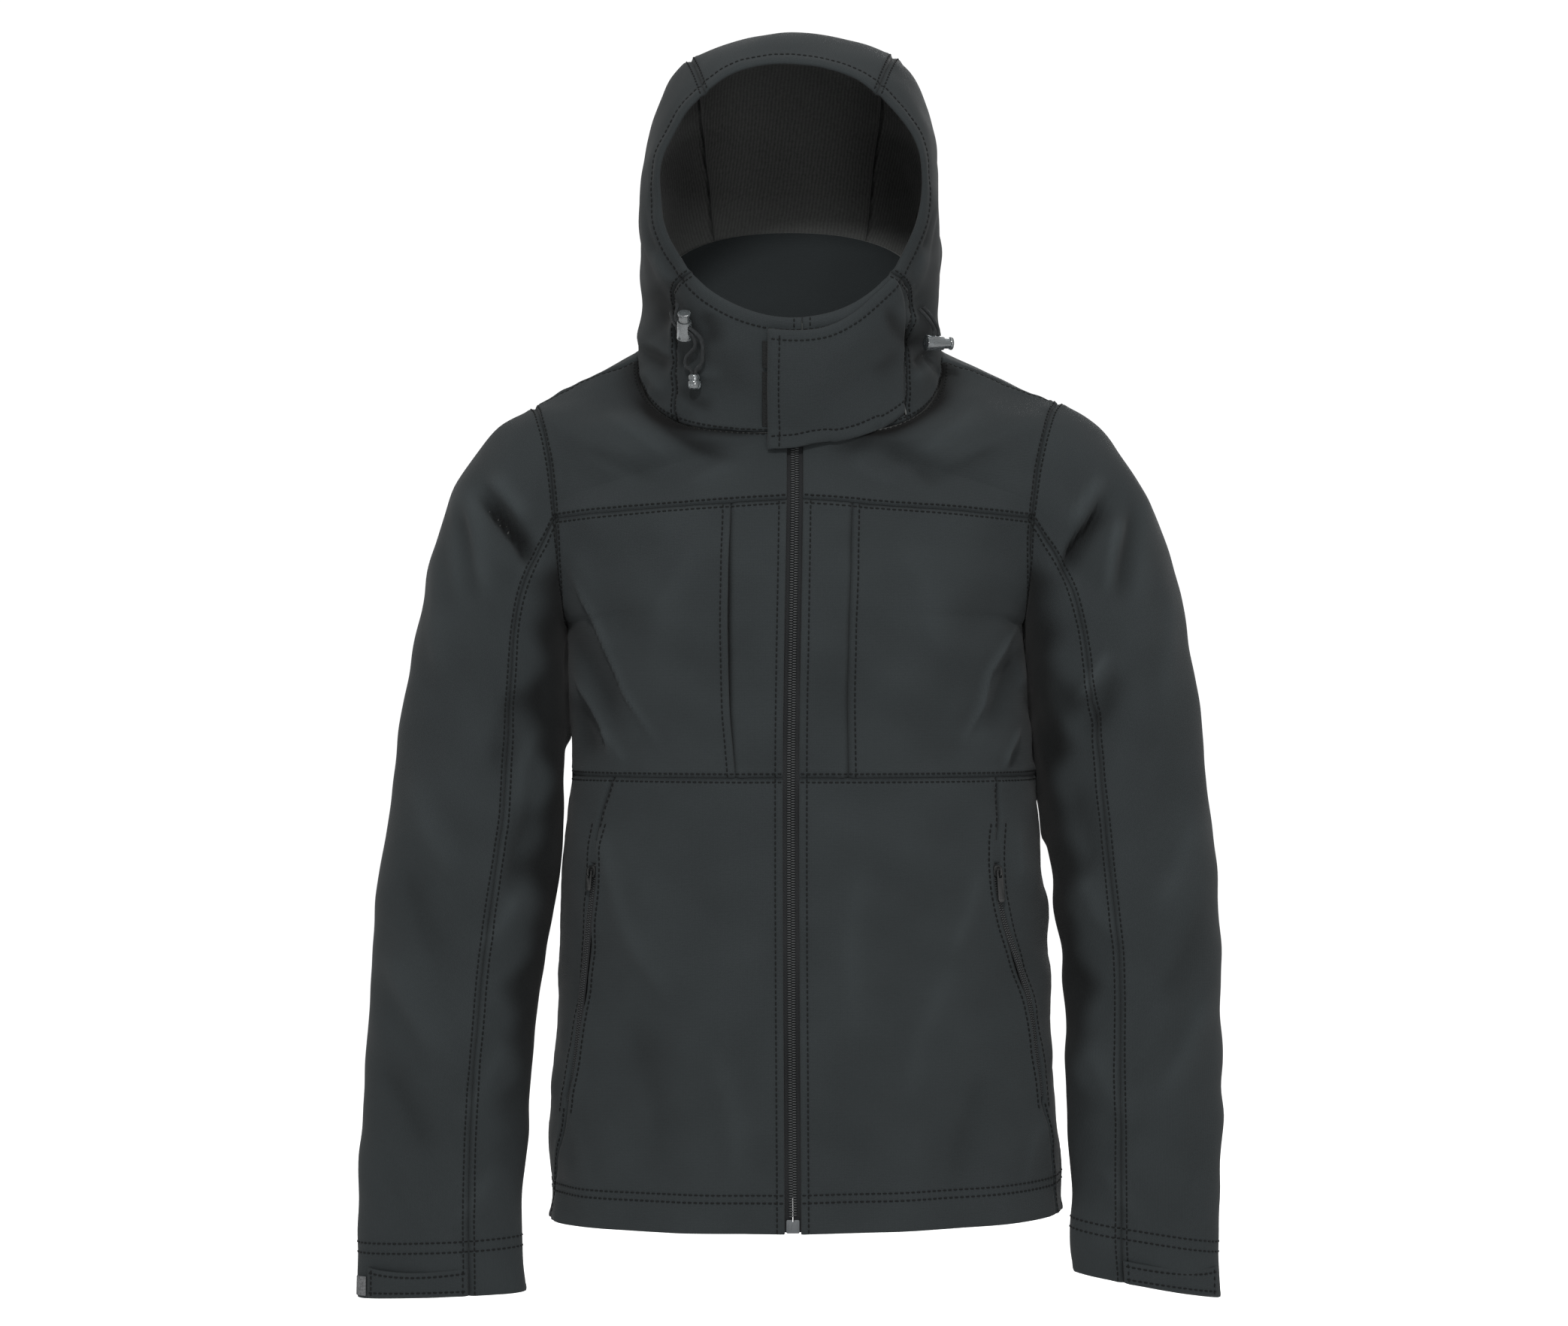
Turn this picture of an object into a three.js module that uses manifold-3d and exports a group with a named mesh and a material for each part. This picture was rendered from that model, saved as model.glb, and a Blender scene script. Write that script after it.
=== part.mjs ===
import * as THREE from 'three';
import { mergeVertices } from 'three/addons/utils/BufferGeometryUtils.js';
import Module from 'manifold-3d';

// Hooded softshell jacket, worn shape, hollow. Millimetres, +Z up, front faces -Y.
// The wearer's left is +X. Seen from the front it is on the right.

const wasm = await Module();
wasm.setup();

// Driving sizes
const WALL = 2;
const HALF_GAP = 0.17;
const HEM_Z = -688;
const WAIST_Z = -336;
const YOKE_Z = -120;
const NECK_FRONT_Z = -69;
const NECK_BACK_Z = 18;
const FRONT_EDGE = 6.5;
const YOKE_S = 0.24;
const YOKE_ROWS = 12;
const NECK_FRONT_ROW = 3 + 1 / YOKE_ROWS;
const NECK_BACK_ROW = 3 + 3 / YOKE_ROWS;
const SIDE_NECK_DEG = 92;
const CHIN_STEPS = 6;
const CROWN_STEPS = 6;
const CORD_D = 2.8;

// Side seam half width by height: z, wearer's right, wearer's left
const SIDE_X = [
  [-688, 193, 217], [-618, 191, 212], [-560, 188, 208.5], [-500, 185, 206], [-438, 182, 203.5],
  [-390, 179.5, 199.5], [-336, 175, 193.5], [-300, 175, 190], [-216, 178, 184],
];
// Depth of the centre front and centre back lines: z, front y, back y
const CENTRE_Y = [
  [-688, -108, 106], [-500, -112, 102], [-336, -113, 100], [-205, -118, 111],
  [-120, -107, 108], [-69, -90, 101], [18, -70, 75],
];
// Centre of the front zip, which drifts a little: z, x
const ZIP_X = [[-688, 1.5], [-336, 0], [-120, 3], [-69, 3], [20, 2]];
// Armhole loop from armpit forward over the shoulder to the back: s, right x, left x
const ARMHOLE_X = [
  [0, 178, 184], [0.12, 181, 187], [0.24, 185, 189], [0.35, 192, 197], [0.43, 200, 206],
  [0.5, 206, 213], [0.57, 202, 208], [0.65, 197, 201], [0.76, 190, 194], [0.88, 184, 190], [1, 178, 184],
];
const ARMHOLE_MID_Z = -128.5;
const ARMHOLE_HALF = 87.5;
const ARMHOLE_FRONT = 62;
const ARMHOLE_BACK = 56;
// Neck seam from centre front round to centre back: degrees, x, y, z
const NECK = [
  [0, 0, -90, -69], [22, 46, -88, -68], [42, 80, -78, -62], [60, 104, -58, -49], [77, 118, -32, -28],
  [92, 121, -4, -5], [110, 113, 30, 8], [130, 90, 55, 14], [152, 51, 70, 17], [180, 0, 75, 18],
];
// Sleeve rings: key, inner x, inner z, outer x, outer z, half depth, centre y
const SLEEVE_RIGHT = [
  [0, 178, -216, 206, -41, 60, -2], [1, 180, -232, 236, -60, 66, -3], [2, 181, -250, 262, -96, 65, -4],
  [3, 181, -275, 281, -142, 62, -5], [4, 180, -308, 294, -196, 59, -6], [5, 180, -352, 305, -262, 55, -8],
  [6, 184, -412, 316, -330, 52, -11], [7, 198, -500, 329.5, -440, 47, -15], [8, 208, -590, 336.5, -550, 41, -19],
  [9, 212, -670, 341, -650, 33, -22], [10, 211.5, -708, 343, -706, 28, -23], [11, 211, -744, 344, -749, 24, -24],
];
const SLEEVE_LEFT = [
  [0, 184, -216, 213, -41, 60, -2], [1, 187, -232, 248, -60, 66, -3], [2, 190, -250, 274, -96, 65, -4],
  [3, 193, -275, 295, -142, 62, -5], [4, 196, -308, 310, -196, 59, -6], [5, 200, -352, 322, -262, 55, -8],
  [6, 206, -412, 331, -330, 52, -11], [7, 217, -500, 340, -440, 47, -15], [8, 219, -590, 341, -550, 41, -19],
  [9, 221, -670, 341, -650, 33, -22], [10, 222, -703, 341, -706, 28, -23], [11, 225, -729, 341, -749, 24, -24],
];
const SLEEVE_KEYS = 11;
// Front seam of the under sleeve: share of sleeve length, ring position s
const UNDER_SEAM = [[0, 0.24], [0.06, 0.222], [0.2, 0.208], [0.4, 0.198], [0.7, 0.192], [1, 0.19]];
// Hood: t, crown y, crown z, chin y, chin z, half width, squareness
const HOOD = [
  [0, -80, 222, -112, 19, 103, 0], [0.1, -52, 241, -113, 8, 110, 0.05], [0.2, -15, 252, -113, -3, 115, 0.09],
  [0.3, 28, 252, -112, -13, 117.5, 0.09], [0.4, 66, 238, -109, -23, 118, 0.08], [0.5, 95, 208, -106, -32, 118, 0.07],
  [0.6, 112, 168, -102.5, -40, 117.5, 0.06], [0.7, 117, 124, -99, -48, 117, 0.05], [0.8, 110, 82, -96, -55, 117.5, 0.03],
  [0.9, 95, 48, -93, -62, 119, 0.01], [1, 75, 18, -90, -69, 121, 0],
];
// Crown seam of the hood side panels: t, degrees
const CROWN_SEAM = [[0, 139], [0.3, 141], [0.6, 145], [1, 150.67]];
const CHIN_SEAM = [[0, 49], [0.4, 53], [1, 50.18]];
// Chest pocket seam: row, right x, left x
const CHEST_SEAM = [[1, 43, 44], [1.5, 48, 44], [2, 49, 45], [3, 47, 47.5]];
// Slanted lower pocket seam: z, right x, left x
const POCKET_SEAM = [
  [-688, 191, 211.5], [-651, 188, 208], [-600, 176, 198], [-562, 169, 193], [-515, 164, 186.5], [-482, 160.5, 177],
  [-450, 157.5, 166], [-420, 154, 160], [-386, 151.6, 159.5], [-360, 147, 162], [-336, 138, 160],
];
// Main folds seen from the front: x1, z1, x2, z2, height, half width
const FOLDS = [
  [-168, -172, -142, -232, 3.2, 9], [-142, -232, -128, -269, 2.4, 9], [-166, -250, -137, -322, 2.6, 8],
  [-186, -55, -128, -101, 3.0, 16], [-127, -411, -53, -545, 3.4, 26], [-150, -480, -110, -640, -3.0, 22],
  [176, -222, 142, -295, -3.6, 10], [142, -295, 132, -314, -2.6, 9], [183, -293, 165, -317, 2.4, 9],
  [190, -55, 130, -96, 3.0, 16], [120, -400, 60, -530, 3.0, 26], [150, -520, 120, -650, -2.8, 22],
  [-238, -118, -208, -158, -5.5, 12], [-262, -104, -224, -168, 4.0, 12], [-275, -134, -278, -190, 2.6, 10],
  [-198, -300, -216, -420, -4.0, 12], [-262, -330, -222, -440, 3.4, 16], [-300, -470, -262, -560, 3.0, 16],
  [252, -120, 222, -174, -5.5, 12], [276, -104, 238, -172, 4.0, 12], [290, -134, 294, -190, 2.6, 10],
  [240, -276, 208, -318, -4.6, 11], [258, -330, 226, -420, 3.4, 14], [312, -460, 272, -560, 3.0, 16],
  [-120, 60, -84, 150, 2.4, 16], [118, 50, 86, 140, 2.4, 16],
];

const SHELL = { color: '#34393b', roughness: 0.86, metalness: 0 };
const TAPE = { color: '#2a2c2e', roughness: 0.8, metalness: 0 };
const COIL = { color: '#25282a', roughness: 0.5, metalness: 0 };
const GREY_PLASTIC = { color: '#7d8184', roughness: 0.45, metalness: 0 };
const BLACK_PLASTIC = { color: '#121314', roughness: 0.4, metalness: 0 };
const CLEAR_PLASTIC = { color: '#c9ced0', roughness: 0.2, metalness: 0 };
const PATCH = { color: '#6b6e6f', roughness: 0.9, metalness: 0 };
const CORD = { color: '#202224', roughness: 0.8, metalness: 0 };

const group = new THREE.Group();

function place(name, geometry, look) {
  const mesh = new THREE.Mesh(geometry, new THREE.MeshStandardMaterial(look));
  mesh.name = name;
  group.add(mesh);
  return mesh;
}

// Interpolates the columns of a table whose first column is the key
function read(table, key) {
  const last = table.length - 1;
  const t = Math.min(Math.max(key, table[0][0]), table[last][0]);
  let i = 0;
  while (i < last - 1 && t > table[i + 1][0]) i += 1;
  const h = table[i + 1][0] - table[i][0];
  const q = (t - table[i][0]) / h;
  const slope = (k, c) => {
    const a = Math.max(k - 1, 0);
    const b = Math.min(k + 1, last);
    return (table[b][c] - table[a][c]) / (table[b][0] - table[a][0]);
  };
  const out = [];
  for (let c = 1; c < table[0].length; c += 1) {
    const m0 = slope(i, c) * h;
    const m1 = slope(i + 1, c) * h;
    const q2 = q * q;
    const q3 = q2 * q;
    out.push((2 * q3 - 3 * q2 + 1) * table[i][c] + (q3 - 2 * q2 + q) * m0
      + (3 * q2 - 2 * q3) * table[i + 1][c] + (q3 - q2) * m1);
  }
  return out;
}

const mix = (a, b, t) => a + (b - a) * t;
const clamp = (t) => Math.min(Math.max(t, 0), 1);
const ease = (t) => clamp(t) * clamp(t) * (3 - 2 * clamp(t));
const rad = (d) => d * Math.PI / 180;
const column = (side) => (side < 0 ? 0 : 1);

// Height of the main folds at a point of the front
function foldHeight(x, z) {
  let sum = 0;
  for (const [x1, z1, x2, z2, height, width] of FOLDS) {
    const dx = x2 - x1;
    const dz = z2 - z1;
    const t = clamp(((x - x1) * dx + (z - z1) * dz) / (dx * dx + dz * dz));
    const d = Math.hypot(x - x1 - dx * t, z - z1 - dz * t);
    sum += height * Math.exp(-((d / width) ** 2));
  }
  return sum;
}

function armhole(side, s) {
  const a = 2 * Math.PI * s;
  const depth = Math.sin(a) > 0 ? ARMHOLE_FRONT : ARMHOLE_BACK;
  const x = read(ARMHOLE_X, s)[column(side)];
  return new THREE.Vector3(side * x, -depth * Math.sin(a), ARMHOLE_MID_Z - ARMHOLE_HALF * Math.cos(a));
}

function neckline(deg) {
  const [x, y, z] = read(NECK, Math.abs(deg));
  return new THREE.Vector3(Math.sign(deg) * x, y, z);
}

// Ends and sweep of one row of the body, from the centre line to the side
function bodyRow(side, front, v) {
  const neckRow = front ? NECK_FRONT_ROW : NECK_BACK_ROW;
  const centre = new THREE.Vector3();
  if (v > neckRow) {
    const share = (v - neckRow) / (4 - neckRow);
    const deg = front ? mix(0, SIDE_NECK_DEG, share) : mix(180, SIDE_NECK_DEG, share);
    centre.copy(neckline(side * deg));
    if (front) centre.x += read(ZIP_X, centre.z)[0] * (1 - ease(share * 2));
  } else {
    const keys = front
      ? [[0, HEM_Z], [1, WAIST_Z], [2, -205], [3, YOKE_Z], [NECK_FRONT_ROW, NECK_FRONT_Z]]
      : [[0, HEM_Z], [1, WAIST_Z], [2, -205], [3, -110], [NECK_BACK_ROW, NECK_BACK_Z]];
    let i = 0;
    while (i < keys.length - 2 && v > keys[i + 1][0]) i += 1;
    const z = mix(keys[i][1], keys[i + 1][1], (v - keys[i][0]) / (keys[i + 1][0] - keys[i][0]));
    centre.set(front ? read(ZIP_X, z)[0] : 0, read(CENTRE_Y, z)[front ? 0 : 1], z);
  }
  let edge;
  if (v >= 2) {
    const s = v < 3 ? YOKE_S * (v - 2) : mix(YOKE_S, 0.5, v - 3);
    edge = armhole(side, front ? s : 1 - s);
  } else {
    const hem = side < 0 ? HEM_Z : HEM_Z + 6;
    const z = v < 1 ? mix(hem, WAIST_Z, v) : mix(WAIST_Z, ARMHOLE_MID_Z - ARMHOLE_HALF, v - 1);
    edge = new THREE.Vector3(side * read(SIDE_X, z)[column(side)], 0, z);
  }
  const sweep = v < 2 ? 90 : (v < 3 ? mix(90, 58, ease(v - 2)) : mix(58, 18, ease(v - 3)));
  return { centre, edge, sweep: rad(sweep), bulge: 0.04 * (1 - ease(v - 2)) };
}

function bodySkin(side, front) {
  const at = (u, v) => {
    const { centre, edge, sweep, bulge } = bodyRow(side, front, v);
    const swell = 1 + bulge * Math.sin(Math.PI * u) ** 2;
    const sx = swell * Math.sin(u * sweep) / Math.sin(sweep);
    const sy = 1 - swell * (Math.cos(u * sweep) - Math.cos(sweep)) / (1 - Math.cos(sweep));
    const p = new THREE.Vector3(mix(centre.x, edge.x, sx), mix(centre.y, edge.y, sy), mix(centre.z, edge.z, u));
    if (front) {
      const calm = ease((1 - u) / 0.12) * ease(u / 0.08);
      p.y -= foldHeight(p.x, p.z) * calm;
    }
    return p;
  };
  return { at, sign: front ? side : -side, u: [0, 1], v: [0, 4] };
}

function sleeveSkin(side) {
  const table = side < 0 ? SLEEVE_RIGHT : SLEEVE_LEFT;
  const ring = (s, k) => {
    const [ix, iz, ox, oz, half, cy] = read(table, k * SLEEVE_KEYS);
    const a = 2 * Math.PI * s;
    const c = Math.cos(a);
    return new THREE.Vector3(side * ((ix + ox) / 2 - (ox - ix) / 2 * c), cy - half * Math.sin(a), (iz + oz) / 2 - (oz - iz) / 2 * c);
  };
  const at = (s, k) => {
    const p = ring(s, k);
    const turn = ((s % 1) + 1) % 1;
    const start = armhole(side, turn).sub(ring(s, 0));
    p.addScaledVector(start, 1 - ease(k / 0.22));
    const facing = Math.max(Math.sin(2 * Math.PI * s), 0);
    p.y -= foldHeight(p.x, p.z) * ease(k / 0.12) * ease((0.97 - k) / 0.06) * ease(facing * 2.5);
    return p;
  };
  return { at, sign: -side, u: [-1, 2], v: [0, 1] };
}

const hoodSkin = {
  at: (deg, t) => {
    const ring = (key) => {
      const [by, bz, fy, fz, half, square] = read(HOOD, key);
      const a = rad(deg);
      const c = Math.cos(a);
      const swell = c < 0 ? 1 + square * Math.sin(2 * a) ** 2 : 1;
      return new THREE.Vector3(half * Math.sin(a) * swell, (by + fy) / 2 - (by - fy) / 2 * c * swell, (bz + fz) / 2 - (bz - fz) / 2 * c * swell);
    };
    const p = ring(t);
    const settle = neckline(deg).sub(ring(1));
    p.addScaledVector(settle, ease((t - 0.5) / 0.5));
    const middle = (1 - ease(Math.abs(deg) / 60));
    p.x += 2.5 * middle;
    const facing = ease((100 - Math.abs(deg)) / 40) * ease((Math.abs(deg) - 15) / 30);
    p.x += Math.sign(deg) * foldHeight(p.x, p.z) * facing * ease(t / 0.1) * ease((1 - t) / 0.1);
    return p;
  },
  sign: -1,
  u: [-360, 360],
  v: [0, 1],
};

function normalAt(skin, u, v) {
  const du = (skin.u[1] - skin.u[0]) * 0.0015;
  const dv = (skin.v[1] - skin.v[0]) * 0.0015;
  const u0 = Math.max(u - du, skin.u[0]);
  const u1 = Math.min(u + du, skin.u[1]);
  const v0 = Math.max(v - dv, skin.v[0]);
  const v1 = Math.min(v + dv, skin.v[1]);
  const a = skin.at(u1, v).sub(skin.at(u0, v));
  const b = skin.at(u, v1).sub(skin.at(u, v0));
  return a.cross(b).normalize().multiplyScalar(skin.sign);
}

// Share of a body row that lands at a given x
function shareAtX(side, front, v, x) {
  const { centre, edge, sweep, bulge } = bodyRow(side, front, v);
  const goal = (x - centre.x) / (edge.x - centre.x) * Math.sin(sweep);
  let low = 0;
  let high = 1;
  for (let n = 0; n < 40; n += 1) {
    const u = (low + high) / 2;
    const reach = (1 + bulge * Math.sin(Math.PI * u) ** 2) * Math.sin(u * sweep);
    if (reach < goal) low = u;
    else high = u;
  }
  return (low + high) / 2;
}

// Finds where a skin passes through a given x and z
function findOn(skin, x, z, u, v) {
  let a = u;
  let b = v;
  const du = (skin.u[1] - skin.u[0]) * 1e-4;
  const dv = (skin.v[1] - skin.v[0]) * 1e-4;
  for (let n = 0; n < 30; n += 1) {
    const p = skin.at(a, b);
    const pu = skin.at(a + du, b);
    const pv = skin.at(a, b + dv);
    const j = [(pu.x - p.x) / du, (pv.x - p.x) / dv, (pu.z - p.z) / du, (pv.z - p.z) / dv];
    const det = j[0] * j[3] - j[1] * j[2];
    const ex = x - p.x;
    const ez = z - p.z;
    a += 0.8 * (j[3] * ex - j[1] * ez) / det;
    b += 0.8 * (j[0] * ez - j[2] * ex) / det;
    b = Math.min(Math.max(b, skin.v[0]), skin.v[1] - 0.001);
  }
  return [a, b];
}

// A closed wall from matching outer and inner grids of points
function wallGeometry(outer, inner) {
  const nu = outer.length;
  const nv = outer[0].length;
  const points = [];
  for (const grid of [outer, inner]) for (const row of grid) for (const p of row) points.push(p.x, p.y, p.z);
  const id = (layer, i, j) => layer * nu * nv + i * nv + j;
  const faces = [];
  const quad = (a, b, c, d) => faces.push(a, b, c, a, c, d);
  for (let i = 0; i < nu - 1; i += 1) {
    for (let j = 0; j < nv - 1; j += 1) {
      quad(id(0, i, j), id(0, i + 1, j), id(0, i + 1, j + 1), id(0, i, j + 1));
      quad(id(1, i, j), id(1, i, j + 1), id(1, i + 1, j + 1), id(1, i + 1, j));
    }
  }
  for (let i = 0; i < nu - 1; i += 1) {
    quad(id(0, i + 1, 0), id(0, i, 0), id(1, i, 0), id(1, i + 1, 0));
    quad(id(0, i, nv - 1), id(0, i + 1, nv - 1), id(1, i + 1, nv - 1), id(1, i, nv - 1));
  }
  for (let j = 0; j < nv - 1; j += 1) {
    quad(id(0, 0, j), id(0, 0, j + 1), id(1, 0, j + 1), id(1, 0, j));
    quad(id(0, nu - 1, j + 1), id(0, nu - 1, j), id(1, nu - 1, j), id(1, nu - 1, j + 1));
  }
  return closedGeometry(points, faces);
}

function closedGeometry(points, faces) {
  let volume = 0;
  const p = (k) => new THREE.Vector3(points[3 * k], points[3 * k + 1], points[3 * k + 2]);
  for (let f = 0; f < faces.length; f += 3) {
    volume += p(faces[f]).dot(p(faces[f + 1]).cross(p(faces[f + 2])));
  }
  const index = [];
  for (let f = 0; f < faces.length; f += 3) {
    if (volume > 0) index.push(faces[f], faces[f + 1], faces[f + 2]);
    else index.push(faces[f], faces[f + 2], faces[f + 1]);
  }
  const geometry = new THREE.BufferGeometry();
  geometry.setAttribute('position', new THREE.Float32BufferAttribute(points, 3));
  geometry.setIndex(index);
  geometry.computeVertexNormals();
  return geometry;
}

// Draws each edge of a piece back by half of the seam gap
function pullBack(outer, inner, gap = HALF_GAP) {
  const nu = outer.length;
  const nv = outer[0].length;
  const moves = [];
  const note = (i, j, i2, j2) => {
    const step = outer[i2][j2].clone().sub(outer[i][j]).normalize().multiplyScalar(gap);
    moves.push([i, j, step]);
  };
  for (let j = 0; j < nv; j += 1) {
    note(0, j, 1, j);
    note(nu - 1, j, nu - 2, j);
  }
  for (let i = 0; i < nu; i += 1) {
    note(i, 0, i, 1);
    note(i, nv - 1, i, nv - 2);
  }
  for (const [i, j, step] of moves) {
    outer[i][j].add(step);
    inner[i][j].add(step);
  }
}

// One cloth piece: uv(i, j) gives its grid on the skin
function clothPiece(skin, nu, nv, uv, { lift = () => 0, wall = WALL, edge = () => null, gap = HALF_GAP } = {}) {
  const outer = [];
  const inner = [];
  for (let i = 0; i <= nu; i += 1) {
    outer.push([]);
    inner.push([]);
    for (let j = 0; j <= nv; j += 1) {
      const [u, v] = uv(i, j);
      const n = edge(i, j, u, v) || normalAt(skin, u, v);
      const p = skin.at(u, v);
      const up = lift(i, j, p);
      outer[i].push(p.clone().addScaledVector(n, up));
      inner[i].push(p.clone().addScaledVector(n, up - wall));
    }
  }
  pullBack(outer, inner, gap);
  return wallGeometry(outer, inner);
}

function shared(a, b) {
  const d = Math.max(a.dot(b), 0);
  return a.clone().addScaledVector(b, ease(d * 2)).normalize();
}

function armholeNormal(side, s, forSleeve) {
  const turn = ((s % 1) + 1) % 1;
  const front = turn <= 0.5;
  const half = front ? turn : 1 - turn;
  const v = half < YOKE_S ? 2 + half / YOKE_S : 3 + (half - YOKE_S) / (0.5 - YOKE_S);
  const body = normalAt(bodySkin(side, front), 1, v);
  const sleeve = normalAt(sleeveSkin(side), turn, 0);
  return forSleeve ? shared(sleeve, body) : shared(body, sleeve);
}

function shoulderNormal(side, u) {
  return shared(normalAt(bodySkin(side, true), u, 4), normalAt(bodySkin(side, false), u, 4));
}

const frontEdgeShare = (side, v) => {
  const { centre } = bodyRow(side, true, v);
  return shareAtX(side, true, v, centre.x + side * FRONT_EDGE);
};
const chestSeamShare = (side, v) => shareAtX(side, true, v, side * read(CHEST_SEAM, v)[column(side)]);
const pocketSeamShare = (side, v) => {
  const z = mix(HEM_Z, WAIST_Z, v);
  return shareAtX(side, true, v, side * read(POCKET_SEAM, z)[column(side)]);
};
const spread = (a, b, n) => Array.from({ length: n + 1 }, (_, i) => mix(a, b, i / n));

const LOWER_ROWS = spread(0, 1, 13);
const CHEST_ROWS = spread(1, 2, 5).concat(spread(2, 3, 4).slice(1));
const TOP_ROWS = spread(3, 4, YOKE_ROWS);
const STRIP_COLUMNS = 3;
const CHEST_COLUMNS = 7;

function armEdge(side, v, front) {
  if (v < 2) return null;
  const half = v < 3 ? YOKE_S * (v - 2) : mix(YOKE_S, 0.5, v - 3);
  return armholeNormal(side, front ? half : 1 - half, false);
}

function frontPieces(side, word) {
  const skin = bodySkin(side, true);
  const seam = (i, n, v, a, b) => mix(a(side, v), b(side, v), i / n);
  place(`lower_front_${word}`, clothPiece(skin, 12, LOWER_ROWS.length - 1, (i, j) => {
    const v = LOWER_ROWS[j];
    return [seam(i, 12, v, frontEdgeShare, pocketSeamShare), v];
  }), SHELL);
  place(`lower_side_${word}`, clothPiece(skin, 4, LOWER_ROWS.length - 1, (i, j) => {
    const v = LOWER_ROWS[j];
    return [mix(pocketSeamShare(side, v), 1, i / 4), v];
  }), SHELL);
  place(`centre_strip_${word}`, clothPiece(skin, STRIP_COLUMNS, CHEST_ROWS.length - 1, (i, j) => {
    const v = CHEST_ROWS[j];
    return [seam(i, STRIP_COLUMNS, v, frontEdgeShare, chestSeamShare), v];
  }), SHELL);
  place(`chest_front_${word}`, clothPiece(skin, CHEST_COLUMNS, CHEST_ROWS.length - 1, (i, j) => {
    const v = CHEST_ROWS[j];
    return [mix(chestSeamShare(side, v), 1, i / CHEST_COLUMNS), v];
  }, {
    edge: (i, j) => (i === CHEST_COLUMNS ? armEdge(side, CHEST_ROWS[j], true) : null),
    lift: (i, j) => (side < 0 && i === 0 ? 1.6 * Math.sin(Math.PI * clamp((CHEST_ROWS[j] - 1.02) / 1.96)) : 0),
  }), SHELL);
  const first = frontEdgeShare(side, 3);
  const pocket = chestSeamShare(side, 3);
  const shares = spread(first, pocket, STRIP_COLUMNS).concat(spread(pocket, 1, CHEST_COLUMNS).slice(1))
    .map((u) => (u - first) / (1 - first));
  const start = (v) => {
    if (v <= NECK_FRONT_ROW) return frontEdgeShare(side, v);
    const left = FRONT_EDGE - Math.abs(bodyRow(side, true, v).centre.x - read(ZIP_X, NECK_FRONT_Z)[0]);
    return left > 0 ? left / 190 : 0;
  };
  place(`front_yoke_${word}`, clothPiece(skin, shares.length - 1, YOKE_ROWS, (i, j) => {
    const v = TOP_ROWS[j];
    return [mix(start(v), 1, shares[i]), v];
  }, {
    edge: (i, j, u) => {
      if (j === YOKE_ROWS) return shoulderNormal(side, u);
      return i === shares.length - 1 ? armEdge(side, TOP_ROWS[j], true) : null;
    },
  }), SHELL);
}

// The back pieces run from one side across the centre to the other
function backPiece(name, rows, half) {
  const skins = { left: bodySkin(1, false), right: bodySkin(-1, false) };
  const outer = [];
  const inner = [];
  for (let i = -half; i <= half; i += 1) {
    const side = i < 0 ? -1 : 1;
    const skin = i < 0 ? skins.right : skins.left;
    const line = [];
    const back = [];
    rows.forEach((v, j) => {
      const u = Math.abs(i) / half;
      let n = normalAt(skin, u, v);
      if (i === 0) {
        const other = normalAt(skins.right, 0, v);
        n.add(other).normalize();
      }
      if (Math.abs(i) === half) n = armEdge(side, v, false) || n;
      if (v === 4) n = shoulderNormal(side, u);
      const p = skin.at(u, v);
      line.push(p);
      back.push(p.clone().addScaledVector(n, -WALL));
    });
    outer.push(line);
    inner.push(back);
  }
  pullBack(outer, inner);
  place(name, wallGeometry(outer, inner), SHELL);
}

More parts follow.
